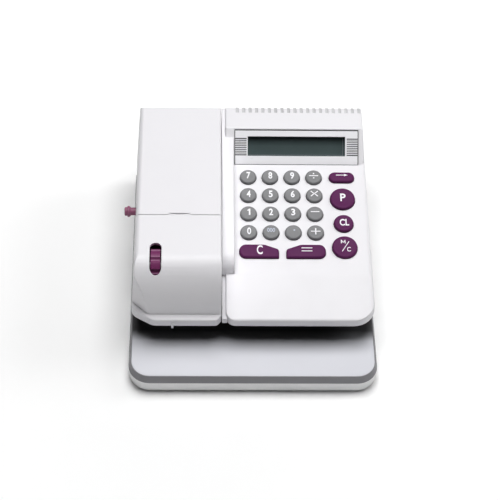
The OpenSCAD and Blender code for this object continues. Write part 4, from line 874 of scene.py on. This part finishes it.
FILM_INK = 0.05
STRIPE_COUNT, STRIPE_LOW, STRIPE_HIGH = 10, 8.6, 22.9
GLASS_TOP = -3.4
rim, under_top = BEZEL_HALF - 0.15, BEZEL_HIGH - 1.05
strips("bezel_outline", [(-rim, rim, BEZEL_HIGH - 0.95, BEZEL_HIGH - 0.1), (-rim, -rim + 0.5, 0.6, under_top),
                         (rim - 0.5, rim, 0.6, under_top)], 0.0, FILM_INK, line_ink)
strips("bezel_lower_line", [(-rim, rim, 0.15, 0.55)], 0.0, FILM_INK, soft_line_ink)
stripes = []
for x0, x1 in ((-rim + 0.55, -WINDOW_HALF - 1.0), (WINDOW_HALF + 1.4, rim - 0.55)):
    for i in range(STRIPE_COUNT):
        u = STRIPE_LOW + (STRIPE_HIGH - STRIPE_LOW) * i / (STRIPE_COUNT - 1)
        half = 0.43 if i in (0, STRIPE_COUNT - 1) else 0.33
        stripes.append((x0, x1, u - half, u + half))
strips("bezel_stripes", stripes, 0.0, FILM_INK, line_ink)
sill, lintel = WINDOW_MIDDLE - WINDOW_HIGH / 2, WINDOW_MIDDLE + WINDOW_HIGH / 2
strips("display_seal", [(-WINDOW_HALF + 0.9, WINDOW_HALF - 1.6, sill + 1.0, sill + 1.25),
                        (WINDOW_HALF - 2.0, WINDOW_HALF - 1.7, sill + 1.35, lintel - 1.2)],
       GLASS_TOP + 0.01, GLASS_TOP + 0.05, soft_line_ink)
print("strips on the bezel:", 4 + len(stripes))

# %% [markdown]
# The screws under the base and under the head are pan-head screws with a cross recess. A Boolean could
# cut the cross, but its result has to be cleaned. Here a turned profile gives the head, and the cross is
# a second outline in the head's flat, pushed down and drawn together, so every face is known.

# %% Cross-recess screws
SCREW_R, SCREW_HEAD_R, SCREW_HEAD_H = 1.5, 3.0, 2.0
CROSS_ARM, CROSS_HALF = SCREW_HEAD_R * 0.46, SCREW_HEAD_R * 0.12
RECESS_FLOOR, RECESS_DRAFT = 0.3, 0.75


def turned(bm, profile, place, axis, count):
    """Turns a profile of (radius, distance along the axis) round the axis and closes both ends."""
    side = axis.orthogonal().normalized()
    other = axis.cross(side)
    rings = [[(place + axis * z + side * (r * math.cos(a)) + other * (r * math.sin(a))) * MM
              for a in (2 * math.pi * i / count for i in range(count))] for r, z in profile]
    return stacked_rings(bm, rings)


def cross_outline(arm, half):
    """The twelve corners of a cross with arms of the given length and half width."""
    return [(arm, -half), (arm, half), (half, half), (half, arm), (-half, arm), (-half, half), (-arm, half),
            (-arm, -half), (-half, -half), (-half, -arm), (half, -arm), (half, -half)]


def screw(bm, place, down, shank_l):
    """A screw whose head looks along the unit vector down; place is the middle of the head's seat."""
    head_r, head_h, shank_r, count = SCREW_HEAD_R, SCREW_HEAD_H, SCREW_R, 36
    outline = cross_outline(CROSS_ARM, CROSS_HALF)
    corners = len(outline)
    side = down.orthogonal().normalized()
    other = down.cross(side)
    rings = []
    for r, z in ((shank_r * 0.5, -shank_l), (shank_r, -shank_l + 1.0), (shank_r, 0.0), (head_r, 0.0),
                 (head_r, head_h * 0.45), (head_r * 0.94, head_h * 0.75), (head_r * 0.78, head_h * 0.94),
                 (head_r * 0.62, head_h)):
        rings.append([(place + down * z + (side * math.cos(a) + other * math.sin(a)) * r) * MM
                      for a in (2 * math.pi * i / count for i in range(count))])
    rim = stacked_rings(bm, rings, close_end=False)
    cross = [bm.verts.new((place + down * head_h + side * x + other * y) * MM) for x, y in outline]
    edges = [bm.edges.get((rim[i], rim[(i + 1) % count])) for i in range(count)]
    edges += [bm.edges.new((cross[i], cross[(i + 1) % corners])) for i in range(corners)]
    bmesh.ops.triangle_fill(bm, edges=edges, use_beauty=True)
    foot = [bm.verts.new((place + down * head_h * RECESS_FLOOR + side * x * RECESS_DRAFT
                          + other * y * RECESS_DRAFT) * MM) for x, y in outline]
    for i in range(corners):
        j = (i + 1) % corners
        bm.faces.new((cross[i], cross[j], foot[j], foot[i]))
    bm.faces.new(foot)


def screw_set(name, node, places, seat, shank_l):
    """All screws of one CAD node, seated at one height with their heads down."""
    bm = bmesh.new()
    for x, y in places:
        screw(bm, Vector((x, y, seat)), Vector((0, 0, -1)), shank_l)
    piece = piece_from(bm, name, finishes["screw_steel"], "machine", smooth=False)
    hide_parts(node)
    return piece


base_places = [(sx * 90, sy * 70) for sx in (-1, 1) for sy in (-1, 1)]
head_places = [(-15.1, -59.5), (87, -59.5), (-14.1, -39.5), (-15.1, 108), (90, 78),
               (-90, -51.2), (-33.8, -70.2), (-92, 88), (-33.8, 108)]
screw_set("base_cross_screws", "base_screws", base_places, 5.6, 12.2)
screw_set("head_cross_screws", "head_screws", head_places, 42.0, 8.5)
print("screws:", len(base_places) + len(head_places))

# %% [markdown]
# The feet are moulded rubber discs: a rounded edge, a ring groove and a small dimple where the sprue was.
# A plain disc with a bevel would lose the groove, so one profile of a few points is turned round the axis
# of each foot.

# %% Rubber feet
FOOT_R = 8.0
foot_profile = [(FOOT_R - 0.02, 3.97), (FOOT_R - 0.02, 1.2), (FOOT_R - 0.25, 0.5), (FOOT_R - 0.9, 0.0),
                (6.2, 0.0), (6.0, 0.5), (5.2, 0.5), (5.0, 0.0), (1.6, 0.0), (1.2, 0.4), (0.4, 0.45)]
foot_places = [(0, 0)] + [(sx * 80, sy * 94) for sx in (-1, 1) for sy in (-1, 1)]
bm = bmesh.new()
for x, y in foot_places:
    turned(bm, foot_profile, Vector((x, y, 0)), Vector((0, 0, 1)), 40)
feet = piece_from(bm, "moulded_feet", finishes["black_rubber"], "machine", smooth=False)
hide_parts("rubber_feet")
print("feet:", len(foot_places), "faces:", len(feet.data.polygons))

# %% [markdown]
# The type wheel carries raised figures round its rim, mirrored so that they print the right way. A bump
# map would look flat where the wheel is seen edge on, so the font's glyphs are set as real relief on the
# wheel's twelve blocks, and turn with it.

# %% Raised type
TYPE_AT = Vector((-57.0, 20.0, 38.5))
TYPE_R, TYPE_SUNK, TYPE_RELIEF = 14.0, 0.16, 0.36
TYPE_FIGURES = "0123456789*,"
bm = bmesh.new()
for i, figure in enumerate(TYPE_FIGURES):
    angle = 2 * math.pi * i / len(TYPE_FIGURES)
    out = Vector((math.sin(angle), 0, math.cos(angle)))
    along = Vector((math.cos(angle), 0, -math.sin(angle)))
    points, faces = glyph(figure, 0, 0, 2.2, 3.8 if figure not in "*," else 2.0)
    verts = [bm.verts.new((TYPE_AT + out * (TYPE_R - TYPE_SUNK + c * TYPE_RELIEF) - along * a
                           + Vector((0, b, 0))) * MM) for a, b, c in points]
    for face in faces:
        bm.faces.new([verts[k] for k in face][::-1])
riding(bm, "raised_type", finishes["type_steel"], "type_turn")
print("raised figures:", len(TYPE_FIGURES))

# %% [markdown]
# The power switch has the usual I and O, and the inlet its bright centre pin. The rocker's face is bent in
# the middle, so its marks could be projected onto it; as each mark lies on one flat half, it is enough to
# turn its points by the rocker's tilt. The pin is turned like a foot, with a rounded tip.

# %% Switch marks and inlet pin
SWITCH_X, SWITCH_Y, SWITCH_Z, TILT = 79.0, 115.0, 60.0, math.radians(9.0)
ROCKER_FACE, ROCKER_BEND = 5.0, 0.2
MARK_LOW, MARK_HIGH = 0.02, 0.08
INLET_BACK = Vector((18.9, 109.5, 60.0))


def on_rocker(x, up_face, out):
    """A point on the rocker's face; up_face runs up the face from the bend in its middle."""
    y = ROCKER_FACE + abs(up_face) * ROCKER_BEND + out
    turn = Matrix.Rotation(TILT, 3, "X")
    return (Vector((SWITCH_X, SWITCH_Y, SWITCH_Z)) + turn @ Vector((x, y, up_face))) * MM


bm = bmesh.new()
bar_mark = [(-0.35, 2.9), (0.35, 2.9), (0.35, 5.9), (-0.35, 5.9)]
stacked_rings(bm, [[on_rocker(x, u, h) for x, u in bar_mark] for h in (MARK_LOW, MARK_HIGH)])
round_mark = ((1.5, MARK_LOW), (1.5, MARK_HIGH), (1.0, MARK_HIGH), (1.0, MARK_LOW), (1.5, MARK_LOW))
turns = [2 * math.pi * i / 24 for i in range(24)]
stacked_rings(bm, [[on_rocker(r * math.cos(a), -4.4 + r * math.sin(a), h) for a in turns]
                   for r, h in round_mark], False, False)
piece_from(bm, "rocker_marks", legend_white, "rocker", smooth=False)
bm = bmesh.new()
turned(bm, [(1.02, 1.6), (1.02, 8.5), (0.8, 9.1), (0.3, 9.3)], INLET_BACK, Vector((0, 1, 0)), 20)
piece_from(bm, "inlet_pin", finishes["screw_steel"], "machine")
print("corners of the switch's marks:", len(bar_mark) + len(turns))

# %% [markdown]
# Seen from the front, the tray is a bright band that almost reaches the desk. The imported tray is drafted
# inwards and stops at the feet. It could be replaced as a whole, but its floor and screw pillars are
# right, so only its flank gets a skirt: one closed wall that follows the same outline, stands upright
# under the deck's edge, and ends a little above the desk with a rounded lower lip.

# %% Skirt of the tray
SKIRT_TOP, SKIRT_FOOT, SKIRT_OUT, SKIRT_WALL, SKIRT_LIP = 12.7, 1.7, 0.85, 2.4, 0.8
base_outline = [(-104, -120, 18), (104, -120, 18), (104, 120, 8), (-104, 120, 8)]
section = [(SKIRT_OUT, SKIRT_TOP), (SKIRT_OUT, SKIRT_FOOT + SKIRT_LIP)]
section += [(SKIRT_OUT + SKIRT_LIP * (1 - math.cos(t)), SKIRT_FOOT + SKIRT_LIP * (1 - math.sin(t)))
            for t in (math.radians(a) for a in (30, 60, 90))]
section += [(SKIRT_OUT + SKIRT_WALL, SKIRT_FOOT), (SKIRT_OUT + SKIRT_WALL, SKIRT_TOP), (SKIRT_OUT, SKIRT_TOP)]
bm = bmesh.new()
stacked_rings(bm, [[Vector((p.x, p.y, z)) * MM for p in ring_points(moved_in(base_outline, d), 14)]
                   for d, z in section], False, False)
skirt = piece_from(bm, "tray_skirt", tray_white_painted_light, "machine")
skirt.modifiers.new("smooth_curves", "NODES").node_group = smoothing
print("skirt faces:", len(skirt.data.polygons))

# %% [markdown]
# The vents are slots in the top's rear edge. In the picture they are faint grey marks, far lighter than
# open holes, as when dust gauze sits a little below the surface. One sheet behind the wall could serve
# them all; a block of light grey gauze in each slot also closes the slot's own depth.

# %% Gauze in the vents
gauze_foam = plastic("dust_gauze", (0.58, 0.58, 0.59), wear=0.0, grain=1.1, depth=0.3, polish=0.8, drift=0.3,
                     dust=0.1)
VENT_FIRST, VENT_PITCH, VENT_COUNT, GAUZE_HALF = -12.7, 5.6526, 20, 1.22
GAUZE_FRONT, GAUZE_REAR, GAUZE_LOW, GAUZE_HIGH = 112.9, 119.3, 82.9, 95.9
bm = bmesh.new()
for i in range(VENT_COUNT):
    left, right = (VENT_FIRST + VENT_PITCH * i + side for side in (-GAUZE_HALF, GAUZE_HALF))
    outline = [(left, GAUZE_FRONT), (right, GAUZE_FRONT), (right, GAUZE_REAR), (left, GAUZE_REAR)]
    stacked_rings(bm, [[Vector((x, y, z)) * MM for x, y in outline] for z in (GAUZE_LOW, GAUZE_HIGH)])
gauze = piece_from(bm, "vent_gauze", gauze_foam, "machine", smooth=False)
print("gauze strips:", VENT_COUNT, "in mm:", [round(v * 1000, 1) for v in gauze.dimensions])
